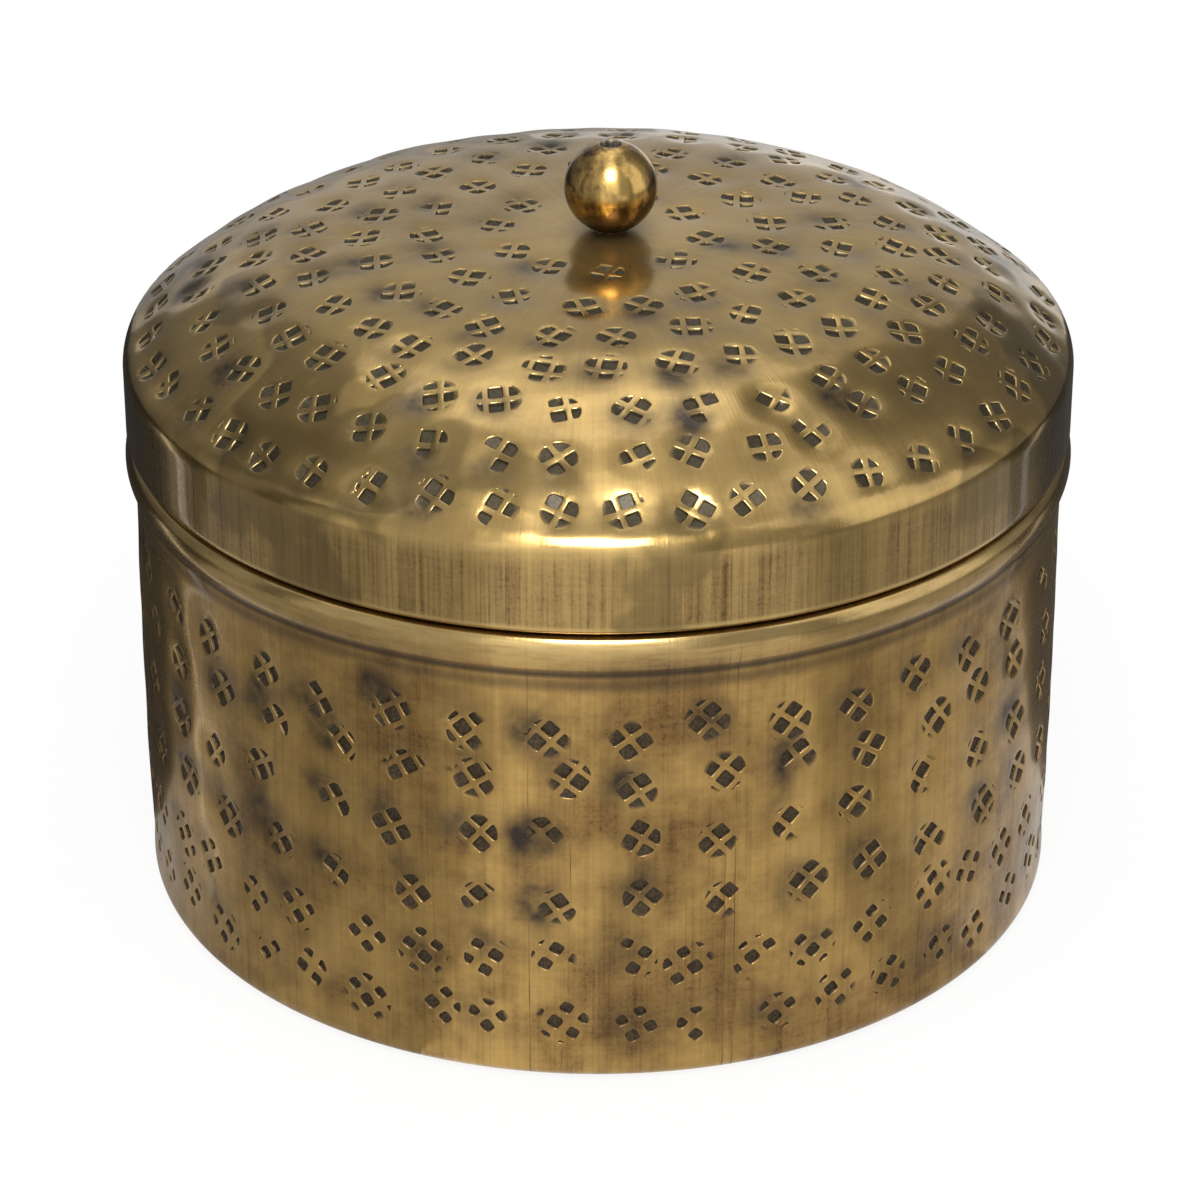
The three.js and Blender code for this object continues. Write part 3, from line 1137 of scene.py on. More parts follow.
    def _band_lattice(self) -> Array:
        """Gives the lattice's points over a band."""
        columns = max(2, round((self.end - self.start) / (self.lattice * math.sqrt(3) / 2)))
        rise = (self.end - self.start) / columns
        rows = round(self.girth / self.lattice)
        step = self.girth / rows
        across = np.arange(1, columns) * rise + self.start
        points = np.array([(x, (j + 0.5 * (i % 2)) * step)
                           for i, x in enumerate(across) for j in range(rows + 1)])
        return points[(points[:, 1] > 0.6 * step) & (points[:, 1] < self.girth - 0.6 * step)]

    def _disc_lattice(self) -> Array:
        """Gives the lattice's points over a disc."""
        step, rise = self.lattice, self.lattice * math.sqrt(3) / 2
        half, wide = math.ceil(self.disc_radius / rise), math.ceil(self.disc_radius / step)
        points = np.array([((i + 0.5 * (j % 2)) * step, j * rise)
                           for j in range(-half, half + 1) for i in range(-wide - 1, wide + 1)])
        points = points[np.hypot(points[:, 0], points[:, 1]) < self.disc_radius - 0.6 * step]
        if self.hole is not None:
            away = np.hypot(points[:, 0] - self.hole[0], points[:, 1])
            points = points[away > self.hole[1] + 0.4 * step]
        return points

    def _dents(self, placed: Array) -> tuple[Array, Array]:
        """Gives the depth of the dents and the dark halo round the strikes: soot, and painted shade on the side
        where each dent slopes down.

        Args:
            placed: The flat points.

        Returns:
            The depth and the halo of soot and painted shade at each point.
        """
        dents, halo = np.zeros(len(placed)), np.zeros(len(placed))
        if self.strikes is None:
            return dents, halo
        struck = self.strikes
        for centre, force, stain, lean in zip(struck.centres, struck.force, struck.stain, struck.lean):
            arm = placed - centre
            if self.is_band:
                arm[:, 1] = (arm[:, 1] + self.girth / 2) % self.girth - self.girth / 2
            close = np.nonzero(np.abs(arm).max(1) < self.dent_limit)[0]
            arm = arm[close]
            away = np.linalg.norm(arm - self.dent_lean * lean, axis=1)
            dents[close] += force * (self.dent_share * np.exp(-(away / self.dent_radius) ** 2)
                                     + self.dish_share * np.exp(-(away / self.dish_radius) ** 2))
            away = np.linalg.norm(arm - self.halo_lean * lean, axis=1)
            halo[close] += self.halo_share * stain * np.exp(-(away / self.halo_radius) ** 2)
        return dents * self._fade(placed), halo

    def _fade(self, placed: Array) -> Array:
        """Lets dents and ripples run out before the stretch's border and before the knob's seat.

        Args:
            placed: The flat points.

        Returns:
            The share that is left of them at each point.
        """
        if self.is_band:
            gap = np.minimum(placed[:, 0] - self.start, self.end - placed[:, 0])
        else:
            gap = self.disc_radius - np.hypot(placed[:, 0], placed[:, 1])
        share = np.clip(gap / self.fade, 0, 1)
        if self.hole is not None:
            far = np.hypot(placed[:, 0] - self.hole[0], placed[:, 1]) - self.seat_radius
            share = np.minimum(share, np.clip(far / self.seat_fade, 0, 1))
        return share * share * (3 - 2 * share)

    def _in_hole(self, placed: Array, faces: Sequence[Sequence[int]]) -> list[bool]:
        """Tells for each face whether it lies in the hole."""
        if self.hole is None:
            return [False] * len(faces)
        middles = np.array([placed[list(corners)].mean(0) for corners in faces])
        inscribed = self.hole[1] * 0.985
        return list(np.hypot(middles[:, 0] - self.hole[0], middles[:, 1]) < inscribed)


@dataclass(frozen=True)
class Ripple:
    """How far a sheet is out of true, and how long its ripples are."""

    height: float
    size: float
    seed: int


def formed(name: str, sheet: FlatSheet, tree: FormingTree, ripple: Ripple, material: Finish) -> Item:
    """Forms a flat sheet along its section.

    Args:
        name: The finished piece's name.
        sheet: The flat sheet.
        tree: The tree that forms it.
        ripple: How far it is out of true.
        material: Its finish.

    Returns:
        The finished piece.
    """
    flat = sheet.mesh(name + "_flat")
    piece = new_object(name, flat)
    curve = sheet.section.as_curve(name + "_section")
    mesh = tree.run(piece, {
        "Section": curve, "Outward": sheet.section.outward_sign, "Ripple": ripple.height * MM,
        "Ripple Size": ripple.size * MM, "Seed": ripple.seed, "Material": material,
    })
    drop(curve)
    piece.data = mesh
    mesh.name = name
    bpy.data.meshes.remove(flat)
    for attribute in ("along", "turn", "press", "limp"):
        mesh.attributes.remove(mesh.attributes[attribute])
    if volume(mesh) < 0:
        mesh.flip_normals()
    return piece


@dataclass(frozen=True)
class Mottle:
    """A pattern of soft patches: a noise whose middle range is spread out."""

    scale: float
    detail: float
    rough: float
    low: float
    high: float
    least: float = 0.0
    most: float = 1.0
    smooth: bool = False

    def on(self, g: Graph, place: Any) -> Socket:
        """Lays the pattern over a place."""
        noise = g.noise(place, self.scale, self.detail, self.rough)
        return g.remap(noise, self.low, self.high, self.least, self.most, self.smooth)


class SheetGraph(Graph):
    """The graph of a sheet's finish, with the places, marks and drawing lines that its parts share."""

    GIRTH_RADIUS = 0.0925
    SCORE = (0.0008, 0.0024)  # how far from a score's middle it is darkest and ends, in radians
    SCORE_BREAKS = Mottle(60.0, 3.0, 0.55, 0.35, 0.6, 0.25, 0.85)
    LINE_RELIEF, BRUSH_RELIEF = 0.55, 0.45

    def __init__(self, tree: Tree) -> None:
        """Lays out what every sheet's finish needs.

        Args:
            tree: The material's tree.
        """
        super().__init__(tree)
        self.place = self.add("ShaderNodeTexCoord").outputs["Object"]
        self.x, self.y, self.height = self.split(self.place)
        self.level = self.combined(X=self.x, Y=self.y)
        self.girth = self.scale(self.vector("NORMALIZE", self.level), self.GIRTH_RADIUS)
        self.pit, self.halo, self.wear = (
            self.add("ShaderNodeAttribute", attribute_name=name).outputs["Fac"]
            for name in ("pit", "halo", "wear")
        )
        self.drawn = self.stretched(0.02)
        self.line = self.noise(self.drawn, 1500.0, 2.0)
        self.brush = self.noise(self.stretched(12.0), 90.0, 3.0, 0.6)

    def stretched(self, factor: float) -> Socket:
        """Gives the place on the girth, with the height times a factor."""
        return self.vector("ADD", self.girth, self.combined(Z=self.times(self.height, factor)))

    def from_height(self, height: float) -> Socket:
        """Gives how far the surface is above or below a height."""
        return self.apart(self.height, height)

    def from_upright(self, x: float) -> Socket:
        """Gives how far the surface is from an upright axis at a place along X."""
        return self.length(self.vector("SUBTRACT", self.level, (x, 0.0, 0.0)))

    def scores(self, azimuths: Sequence[float]) -> Socket:
        """Draws the long upright scores that the drawing die left.

        Args:
            azimuths: Where they are, in degrees to the right of the front.

        Returns:
            How dark the surface is there.
        """
        angle = self.math("ARCTAN2", self.x, self.times(self.y, -1.0))
        lines: Any = 0.0
        for azimuth in azimuths:
            away = self.apart(angle, math.radians(azimuth))
            lines = self.larger(lines, self.remap(away, *self.SCORE, 1.0, 0.0))
        return self.times(lines, self.SCORE_BREAKS.on(self, self.stretched(1.0)))

    def relief(self) -> Socket:
        """Gives the normal with the fine relief of drawing lines and brushing."""
        height = self.plus(self.times(self.line, self.LINE_RELIEF), self.times(self.brush, self.BRUSH_RELIEF))
        return self.add("ShaderNodeBump", {"Strength": 0.22, "Distance": 0.0001, "Height": height}).outputs[0]


@dataclass(frozen=True)
class AgedBrass:
    """Hammered brass, chemically aged, rubbed back to a dull shine and lacquered, with painted shade, shadow,
    highlight and reflection in parts of its colour. Lengths are in metres.
    """

    name: str
    tarnish: float
    rough: float
    coat: float
    bright: Colour
    brown: Colour
    pit_floor: Colour
    pit_grime: Colour = (0.040, 0.031, 0.020, 1.0)
    # the colour of soot, which also stands for painted shade
    soot: Colour = (0.050, 0.036, 0.026, 1.0)
    score_azimuths: tuple[float, ...] = ()
    seam: tuple[float, float] = (0.0, 0.0)  # the heights of the painted shadow in the gap where lid and body meet
    seam_fades: tuple[float, float] = (0.0004, 0.0006)

    # The wall: a dark line of grime and painted shade under the bead with painted shade below it, and the bead
    # rubbed bare and lighter towards its top, partly as a painted highlight.
    grimy_height: float = 0.0
    grimy_reach: float = 0.002
    shade_drop: float = 0.0022
    shade_reach: float = 0.0026
    rubbed_from: float = 0.0
    rubbed_fade: float = 0.0060
    rubbed_most: float = 0.7
    rubbed: Colour = (0.60, 0.45, 0.20, 1.0)

    # The lid: a browner skirt with a worn foot that is partly a painted highlight, patches on the crown that
    # are partly tarnish and partly a painted dark reflection, and grime and painted shade round the knob.
    knob_place: float | None = None
    knob_grime: tuple[float, float] = (0.0045, 0.0115)
    knob_gloss: tuple[float, float] = (0.008, 0.034)
    skirt_head: float = 0.0
    skirt_fade: float = 0.004
    skirt_tarnish: float = 0.42
    worn_foot: float = 0.0
    worn_reach: float = 0.0009
    patched_from: float = 0.0
    patched_fade: float = 0.02
    patched: Colour = (0.20, 0.135, 0.042, 1.0)

    # How brown each pattern makes clean brass, and what full tarnish adds to that.
    cloud_age: Point = (0.0, 0.50)
    blotch_age: Point = (0.06, 0.20)
    line_age: Point = (0.04, 0.12)
    streak_age: Point = (0.06, 0.14)

    cloud: Mottle = Mottle(34.0, 4.0, 0.6, 0.40, 0.64, smooth=True)
    blotch: Mottle = Mottle(150.0, 4.0, 0.62, 0.42, 0.74)
    streak: Mottle = Mottle(420.0, 5.0, 0.7, 0.40, 0.70)
    speck: Mottle = Mottle(1500.0, 2.0, 0.6, 0.50, 0.78)
    # breaks up the halo of soot and painted shade
    smudge: Mottle = Mottle(170.0, 3.0, 0.55, 0.35, 0.62, 0.6, 1.15)
    rings: Mottle = Mottle(1000.0, 4.0, 0.62, 0.42, 0.66)
    patch: Mottle = Mottle(30.0, 3.0, 0.5, 0.535, 0.575, smooth=True)
    grit: Mottle = Mottle(1900.0, 2.0, 0.55, 0.38, 0.62)

    def material(self) -> Finish:
        """Makes the procedural material.

        Returns:
            The material.
        """
        made, g = new_material(self.name, SheetGraph)
        age, smudge = self._age(g), self._smudge(g)
        floor = g.remap(g.pit, 0.02, 0.34)
        # The bead is rubbed bare and lighter towards its top: wear, and partly a painted highlight.
        if self.rubbed_from:
            head = self.rubbed_from + self.rubbed_fade
            bare_and_sheen = g.remap(g.height, self.rubbed_from, head, 0.0, self.rubbed_most)
            rings = self.rings.on(g, g.scale(g.stretched(9.0), 0.11))
            age = g.plus(g.times(age, g.minus(1.0, bare_and_sheen)), g.times(g.times(bare_and_sheen, rings), 0.55))
        # A lighter line at the skirt's foot: wear, and partly a painted highlight of the turned edge.
        if self.worn_foot:
            foot = g.from_height(self.worn_foot)
            age = g.times(age, g.remap(foot, 0.0, self.worn_reach, 0.25, 1.0, smooth=True))
        brass = g.mix(age, self.bright, self.brown)
        # Dark olive patches on the outer crown: tarnish, and partly a painted reflection of dark screens.
        if self.patched_from:
            spread = g.remap(g.length(g.level), self.patched_from, self.patched_from + self.patched_fade)
            brass = g.mix(g.times(g.times(self.patch.on(g, g.place), spread), 0.62), brass, self.patched)
        rough = g.plus(self.rough, g.times(age, 0.12))
        rough = g.plus(rough, g.times(g.larger(floor, smudge), 0.25))
        rough = g.plus(rough, g.times(floor, 0.10))
        if self.rubbed_from:
            brass = g.mix(g.times(bare_and_sheen, g.minus(1.0, g.times(rings, 0.5))), brass, self.rubbed)
            rough = g.minus(rough, g.times(bare_and_sheen, 0.10))
        metal: Any = 1.0
        if self.knob_place is not None:
            metal = g.remap(g.from_upright(self.knob_place), *self.knob_gloss, 0.86, 1.0, smooth=True)
        shader = g.add("ShaderNodeBsdfPrincipled", {
            "Base Color": g.mix(floor, g.mix(smudge, brass, self.soot), self._pit_colour(g)),
            "Metallic": metal, "Roughness": rough, "Normal": g.relief(),
            "Coat Weight": g.remap(floor, 0.0, 1.0, self.coat, self.coat * 0.35),
            "Coat Roughness": 0.08, "Coat IOR": 1.45,
        })
        g.output("ShaderNodeOutputMaterial", shader)
        return made

    def _browned(self, g: SheetGraph, pattern: Any, age: Point) -> Socket:
        """Gives how brown a pattern makes the brass at this tarnish."""
        return g.times(pattern, age[0] + age[1] * self.tarnish)

    def _age(self, g: SheetGraph) -> Socket:
        """Gives how brown the brass is, before it is rubbed.

        Args:
            g: The material's graph.

        Returns:
            The share of brown.
        """
        streak = self.streak.on(g, g.drawn)
        age = g.plus(self._browned(g, self.cloud.on(g, g.place), self.cloud_age),
                     self._browned(g, self.blotch.on(g, g.place), self.blotch_age))
        if self.skirt_head:
            head = self.skirt_head + self.skirt_fade
            skirt = g.remap(g.height, self.skirt_head, head, self.skirt_tarnish, 0.0)
            age = g.plus(age, g.times(skirt, g.plus(0.55, g.times(streak, 0.6))))
            age = g.plus(age, g.times(g.times(skirt, g.remap(g.line, 0.45, 0.7)), 0.5))
        age = g.plus(age, self._browned(g, g.remap(g.line, 0.5, 0.75), self.line_age))
        age = g.plus(age, self._browned(g, streak, self.streak_age))
        age = g.plus(age, g.times(g.times(self.speck.on(g, g.place), age), 0.35))
        age = g.plus(age, g.times(g.minus(g.brush, 0.5), 0.25))
        age = g.minus(age, g.times(g.wear, 0.15), clamp=True)
        return g.larger(age, g.scores(self.score_azimuths)) if self.score_azimuths else age

    def _smudge(self, g: SheetGraph) -> Socket:
        """Gives the soot and the painted shade: round the strikes, in the cove under the bead and below it, in
        the gap where pieces meet, and round the knob.

        Args:
            g: The material's graph.

        Returns:
            The share of soot and painted shade.
        """
        # The halo round the strikes: soot, and painted shade on each dent's down-facing side.
        smudge = g.times(g.halo, self.smudge.on(g, g.place))
        # A dark line of grime and painted shade in the cove under the bead, and a weaker band of painted shade
        # below it.
        if self.grimy_height:
            line, shade = g.from_height(self.grimy_height), g.from_height(self.grimy_height - self.shade_drop)
            smudge = g.larger(smudge, g.remap(line, 0.0, self.grimy_reach, 0.95, 0.0, smooth=True))
            smudge = g.larger(smudge, g.remap(shade, 0.0, self.shade_reach, 0.6, 0.0, smooth=True))
        # Painted shadow in the gap where lid and body meet.
        if self.seam[1]:
            low = g.remap(g.height, self.seam[0], self.seam[0] + self.seam_fades[0])
            high = g.remap(g.height, self.seam[1] - self.seam_fades[1], self.seam[1], 1.0, 0.0)
            smudge = g.larger(smudge, g.times(low, high))
        # Grime and painted shade round the knob's foot.
        if self.knob_place is not None:
            near = g.remap(g.from_upright(self.knob_place), *self.knob_grime, 1.0, 0.0, smooth=True)
            smudge = g.larger(smudge, g.times(near, 0.5))
        return g.times(smudge, g.minus(0.9, g.times(g.wear, 0.5)), clamp=True)

    def _pit_colour(self, g: SheetGraph) -> Socket:
        """Gives the dull colour of the marks' floors."""
        grime = g.times(self.grit.on(g, g.place), 0.35 + 0.5 * self.tarnish)
        return g.mix(grime, self.pit_floor, self.pit_grime)


@dataclass(frozen=True)
class PolishedBrass:
    """The knob's brass: turned and polished, with brown stains that polishing left, and darker towards its foot
    by painted shade and reflection. Lengths are in metres.
    """

    name: str = "polished_brass"
    bright: Colour = (0.68, 0.44, 0.135, 1.0)
    brown: Colour = (0.09, 0.049, 0.019, 1.0)
    grey: Colour = (0.34, 0.31, 0.26, 1.0)
    rough: float = 0.205
    coat: float = 0.3
    axis: float = 0.0024
    mouth_radius: float = 0.0020
    mouth_fade: float = 0.0004
    mouth_height: tuple[float, float] = (0.148, 0.150)
    stained_to: float = 0.1404
    clean_from: float = 0.1446
    squash: Place = (1.0, 1.0, 0.45)

    def material(self) -> Finish:
        """Makes the procedural material.

        Returns:
            The material.
        """
        made, g = new_material(self.name)
        place = g.add("ShaderNodeTexCoord").outputs["Object"]
        x, y, height = g.split(place)
        stain = g.noise(g.vector("MULTIPLY", place, self.squash), 230.0, 5.0, 0.65)
        specks = g.remap(g.noise(place, 1400.0, 3.0), 0.5, 0.8)
        age = g.plus(g.remap(stain, 0.43, 0.68), g.times(specks, 0.2))
        # Darker towards the ball's foot: stains, and painted shade and reflection of the dark lid round its
        # base.
        low = g.remap(height, self.stained_to, self.clean_from, 1.0, 0.0)
        age = g.plus(age, g.times(low, g.remap(stain, 0.35, 0.6, 0.7, 1.3)), clamp=True)
        away = g.length(g.vector("SUBTRACT", g.combined(X=x, Y=y), (self.axis, 0.0, 0.0)))
        mouth = g.times(g.remap(away, self.mouth_radius, self.mouth_radius + self.mouth_fade, 1.0, 0.0),
                        g.remap(height, *self.mouth_height))
        bump = g.add("ShaderNodeBump", {"Strength": 0.08, "Distance": 0.0002, "Height": stain})
        shader = g.add("ShaderNodeBsdfPrincipled", {
            "Base Color": g.mix(mouth, g.mix(age, self.bright, self.brown), self.grey), "Metallic": 1.0,
            "Roughness": g.plus(self.rough, g.times(age, 0.07)), "Normal": bump.outputs[0],
            "Coat Weight": self.coat, "Coat Roughness": 0.08,
        })
        g.output("ShaderNodeOutputMaterial", shader)
        return made


@dataclass(frozen=True)
class NickelPlate:
    """Dull plating on the small fasteners."""

    name: str = "plated_screw"
    colour: Colour = (0.58, 0.55, 0.48, 1.0)
    stained: Colour = (0.30, 0.26, 0.20, 1.0)
    gloss: tuple[float, float] = (0.28, 0.42)

    def material(self) -> Finish:
        """Makes the procedural material.

        Returns:
            The material.
        """
        made, g = new_material(self.name)
        mottle = g.noise(g.add("ShaderNodeTexCoord").outputs["Object"], 900.0, 4.0)
        bump = g.add("ShaderNodeBump", {"Strength": 0.1, "Distance": 0.0001, "Height": mottle})
        shader = g.add("ShaderNodeBsdfPrincipled", {
            "Base Color": g.mix(g.remap(mottle, 0.45, 0.7), self.colour, self.stained), "Metallic": 1.0,
            "Roughness": g.remap(mottle, 0.3, 0.7, *self.gloss), "Normal": bump.outputs[0],
        })
        g.output("ShaderNodeOutputMaterial", shader)
        return made


@dataclass
class Lid:
    """The domed lid: one drawn sheet with a struck crown, a rounded shoulder, a skirt and a turned-in edge."""

    sheet: float = 0.9
    skirt_height: float = 14.9
    skirt_rows: int = 8
    edge_radius: float = 2.0
    shoulder_radius: float = 6.7
    crown_power: float = 4.3
    crown_points: int = 121
    hole_radius: float = 2.05
    struck_margin: float = 2.5
    around: int = 288
    lattice: float = 1.5
    back_lattice: float = 2.8
    outer_spacing: float = 0.3
    inner_spacing: float = 0.9
    ring_radii: tuple[float, ...] = (87.2, 77.3, 67.6, 56.6, 45.5, 33.5, 19.5)
    ring_points: int = 240
    ring_turn: float = 0.7  # how far a ring of strikes is turned on, in radians per millimetre of radius
    ripple: Ripple = Ripple(0.6, 30.0, 3)
    punch: Punch = Punch(
        spacing=12.6, jitter=1.3, grid_angle=0.4, grid_spread=0.8, reach=4.0, reach_spread=0.4,
        tooth=2.9, pitch=3.85, squareness=9.0, seed=11, taper=0.15, dent=0.85, stain=0.8, tilt=0.7,
        slant=(1.2, -1.0),
    )

    def __post_init__(self) -> None:
        """Takes the lid's reach from the CAD lid, and its hole's place from the CAD ball."""
        low, high = node_box("lid")
        self.foot, self.top, self.skirt_radius = low.z, high.z, high.x
        knob_low, knob_high = node_box("knob_ball")
        self.hole = ((knob_low.x + knob_high.x) / 2, self.hole_radius)
        self.shoulder = (self.skirt_radius - self.shoulder_radius, self.foot + self.skirt_height)
        self.shoulder_end = self._shoulder_end()

    def outer_face(self) -> list[Point]:
        """Gives the outer face.

        Returns:
            Its points, from the top to the turned edge.
        """
        shoulder, angle = self.shoulder, self.shoulder_end
        start = (shoulder[0] + self.shoulder_radius * math.cos(angle),
                 shoulder[1] + self.shoulder_radius * math.sin(angle))
        rise = self.top - start[1]
        shares = np.linspace(0, 1, self.crown_points)
        turned = (self.skirt_radius - self.edge_radius, self.foot + self.edge_radius)
        rows = self.skirt_rows
        fall = turned[1] - shoulder[1]
        return [
            *[(start[0] * s, self.top - rise * s ** self.crown_power) for s in shares],
            *arc(shoulder, self.shoulder_radius, angle, 0.0),
            *[(self.skirt_radius, shoulder[1] + fall * i / rows) for i in range(1, rows)],
            *arc(turned, self.edge_radius, 0.0, -math.pi / 2),
        ]

    def _shoulder_end(self) -> float:
        """Finds the angle at which the shoulder runs into the crown without a kink.

        Returns:
            The angle from the outward direction, in radians.
        """
        low, high = 0.05, math.pi / 2
        for _ in range(50):
            angle = (low + high) / 2
            radius = self.skirt_radius - self.shoulder_radius * (1 - math.cos(angle))
            rise = self.top - self.foot - self.skirt_height - self.shoulder_radius * math.sin(angle)
            if 1 / math.tan(angle) > rise * self.crown_power / radius:
                low = angle
            else:
                high = angle
        return (low + high) / 2

    def _strike_rings(self, section: Section) -> list[list[Place]]:
        """Lays out the rings that the punch follows on the flat sheet.

        Args:
            section: The lid's section.

        Returns:
            The points of each ring.
        """
        circles = []
        for radius in self.ring_radii:
            flat = section.outer_length(radius=radius)
            turns = np.linspace(0, TAU, self.ring_points, endpoint=False) + self.ring_turn * radius
            circles.append([(flat * math.cos(t), flat * math.sin(t), 0.0) for t in turns])
        return circles

    def build(self, punch_tree: PunchTree, forming_tree: FormingTree, material: Finish) -> Item:
        """Strikes and forms the lid.

        Args:
            punch_tree: The tree that lays the strikes out.
            forming_tree: The tree that forms the sheet.
            material: Its finish.

        Returns:
            The lid.
        """
        section = Section(self.outer_face(), self.sheet)
        strikes = self.punch.strike(punch_tree, self._strike_rings(section), cyclic=True)
        crown_end = section.outer_length(radius=self.skirt_radius - self.shoulder_radius
                                         + self.shoulder_radius * math.cos(self.shoulder_end))
        join = crown_end + self.struck_margin
        inner_join = section.inner_length(join)
        flat = FlatSheet(section)
        outer = Stretch(Shape.DISC_AT_START, 0.0, join, self.around, self.lattice, hole=self.hole,
                        strikes=strikes, bite=self.punch.bite)
        inner = Stretch(Shape.DISC_AT_END, inner_join, section.length, self.around, self.back_lattice,
                        hole=self.hole, strikes=strikes, back=True)
        top_ring = outer.lay(flat)
        flat.rings(section.stops(join, section.edge, self.outer_spacing), self.around)
        flat.rings(section.stops(section.edge, inner_join, self.inner_spacing), self.around)
        under_ring = inner.lay(flat)
        for (a, b), (c, d) in zip(round_loop(top_ring), round_loop(under_ring)):
            flat.faces.append((a, b, d, c))
        return formed("lid_sheet", flat, forming_tree, self.ripple, material)


@dataclass
class BoxBody:
    """The body: one drawn sheet with its bottom, barrelled and struck wall, swaged bead, ledge and neck."""

    sheet: float = 0.9
    ledge_height: float = 95.65
    ledge_fall: float = 0.3
    ledge_edge_radius: float = 1.0
    bead_drop: float = 3.85
    bead_round: float = 5.2
    bead_fillet: float = 1.2
    wall_inside_bead: float = 1.6
    wall_taper: float = 0.1
    wall_swell: float = 0.8
    wall_points: int = 41
    corner_radius: float = 3.5
    bottom_points: int = 12
    bottom_margin: float = 2.0
    neck_inside_skirt: float = 2.35
    neck_fillet: float = 0.4
    neck_rows: int = 6
    rim_radius: float = 1.4
    around: int = 288
    lattice: float = 1.55
    back_lattice: float = 2.8
    bottom_lattice: float = 6.0
    outer_spacing: float = 0.3
    inner_spacing: float = 0.9
    corner_spacing: float = 0.5
    wall_margins: tuple[float, float] = (0.05, 0.3)  # above the corner, and below the bead
    upper_rows: tuple[float, ...] = (75.0, 64.7, 52.4, 38.7)
    lower_rows: tuple[float, ...] = (25.8, 12.4)
    row_shift: tuple[float, float, float] = (0.35, 0.3, 1.618)  # staggers the rows, in shares of the spacing
    ripple: Ripple = Ripple(0.6, 24.0, 8)
    upper_punch: Punch = Punch(
        spacing=15.0, jitter=1.8, grid_angle=0.78, grid_spread=0.22, reach=4.25, reach_spread=0.45,
        tooth=3.05, pitch=3.85, squareness=8.0, seed=23, bite=0.55, taper=0.15, dent=0.9, stain=1.15,
    )
    lower_punch: Punch = Punch(
        spacing=13.2, jitter=1.9, grid_angle=0.78, grid_spread=0.3, reach=5.0, reach_spread=0.7,
        tooth=2.9, pitch=4.1, squareness=4.5, seed=37, taper=0.35, dent=0.4, stain=0.6, least_area=0.9,
    )

    def __post_init__(self) -> None:
        """Takes the body's reach from the CAD body and lid, and works out where wall and bead meet."""
        low, high = node_box("box_body")
        self.foot, self.rim_top, self.bead_radius = low.z, high.z, high.x
        self.skirt_radius = node_box("lid")[1].x
        self.wall_radius = self.bead_radius - self.wall_inside_bead
        self.bead = (self.bead_radius - self.bead_round, self.ledge_height - self.bead_drop)
        fillet_radius = self.wall_radius + self.bead_fillet
        reach = self.bead_round + self.bead_fillet
        self.bead_fall = math.sqrt(reach ** 2 - (fillet_radius - self.bead[0]) ** 2)
        self.fillet = (fillet_radius, self.bead[1] - self.bead_fall)

    def outer_face(self) -> list[Point]:
        """Gives the outer face.

        Returns:
            Its points, from the middle of the underside up to the rim.
        """
        head, bead, fillet = self.wall_radius, self.bead, self.fillet
        foot = head - self.wall_taper
        corner = (foot - self.corner_radius, self.foot + self.corner_radius)
        bead_foot = -math.atan2(self.bead_fall, fillet[0] - bead[0])
        edge_height = self.ledge_height - self.ledge_fall - self.ledge_edge_radius
        edge_reach = self.bead_round - self.ledge_edge_radius
        edge = (bead[0] + math.sqrt(edge_reach ** 2 - (edge_height - bead[1]) ** 2), edge_height)
        bead_head = math.atan2(edge[1] - bead[1], edge[0] - bead[0])
        neck = self.skirt_radius - self.neck_inside_skirt
        neck_foot = (neck + self.neck_fillet, self.ledge_height + self.neck_fillet)
        rim = (neck - self.rim_radius, self.rim_top - self.rim_radius)
        rows = self.neck_rows
        wall = []
        for share in np.linspace(0, 1, self.wall_points)[1:-1]:
            swell = self.wall_swell * 4 * share * (1 - share)
            wall.append((foot + (head - foot) * share + swell, corner[1] + (fillet[1] - corner[1]) * share))
        return [
            *[(corner[0] * s, self.foot) for s in np.linspace(0, 1, self.bottom_points)[:-1]],
            *arc(corner, self.corner_radius, -math.pi / 2, 0.0),
            *wall,
            *arc(fillet, self.bead_fillet, math.pi, math.pi + bead_foot, 0.25),
            *arc(bead, self.bead_round, bead_foot, bead_head, 0.5),
            *arc(edge, self.ledge_edge_radius, bead_head, math.pi / 2, 0.25),
            *arc(neck_foot, self.neck_fillet, -math.pi / 2, -math.pi, 0.2),
            *[(neck, neck_foot[1] + (rim[1] - neck_foot[1]) * i / rows) for i in range(1, rows)],
            *arc(rim, self.rim_radius, 0.0, math.pi / 2, 0.3),
        ]

    def _struck(self, section: Section, punch_tree: PunchTree) -> Strikes:
        """Strikes the rows of marks on the flat wall.

        Args:
            section: The body's section.
            punch_tree: The tree that lays the strikes out.

        Returns:
            The strikes of both punches.
        """
        girth = TAU * self.bead_radius
        least, more, step = self.row_shift
        groups = []
        for punch, rows in ((self.upper_punch, self.upper_rows), (self.lower_punch, self.lower_rows)):
            gap = girth / round(girth / punch.spacing)
            lines = []
            for number, height in enumerate(rows):
                place = section.outer_length(height=height)
                margin = gap * (least + more * ((number * step) % 1.0))
                lines.append([(place, margin, 0.0), (place, girth - gap + margin, 0.0)])
            groups.append(punch.strike(punch_tree, lines, cyclic=False))
        return Strikes.joined(groups)

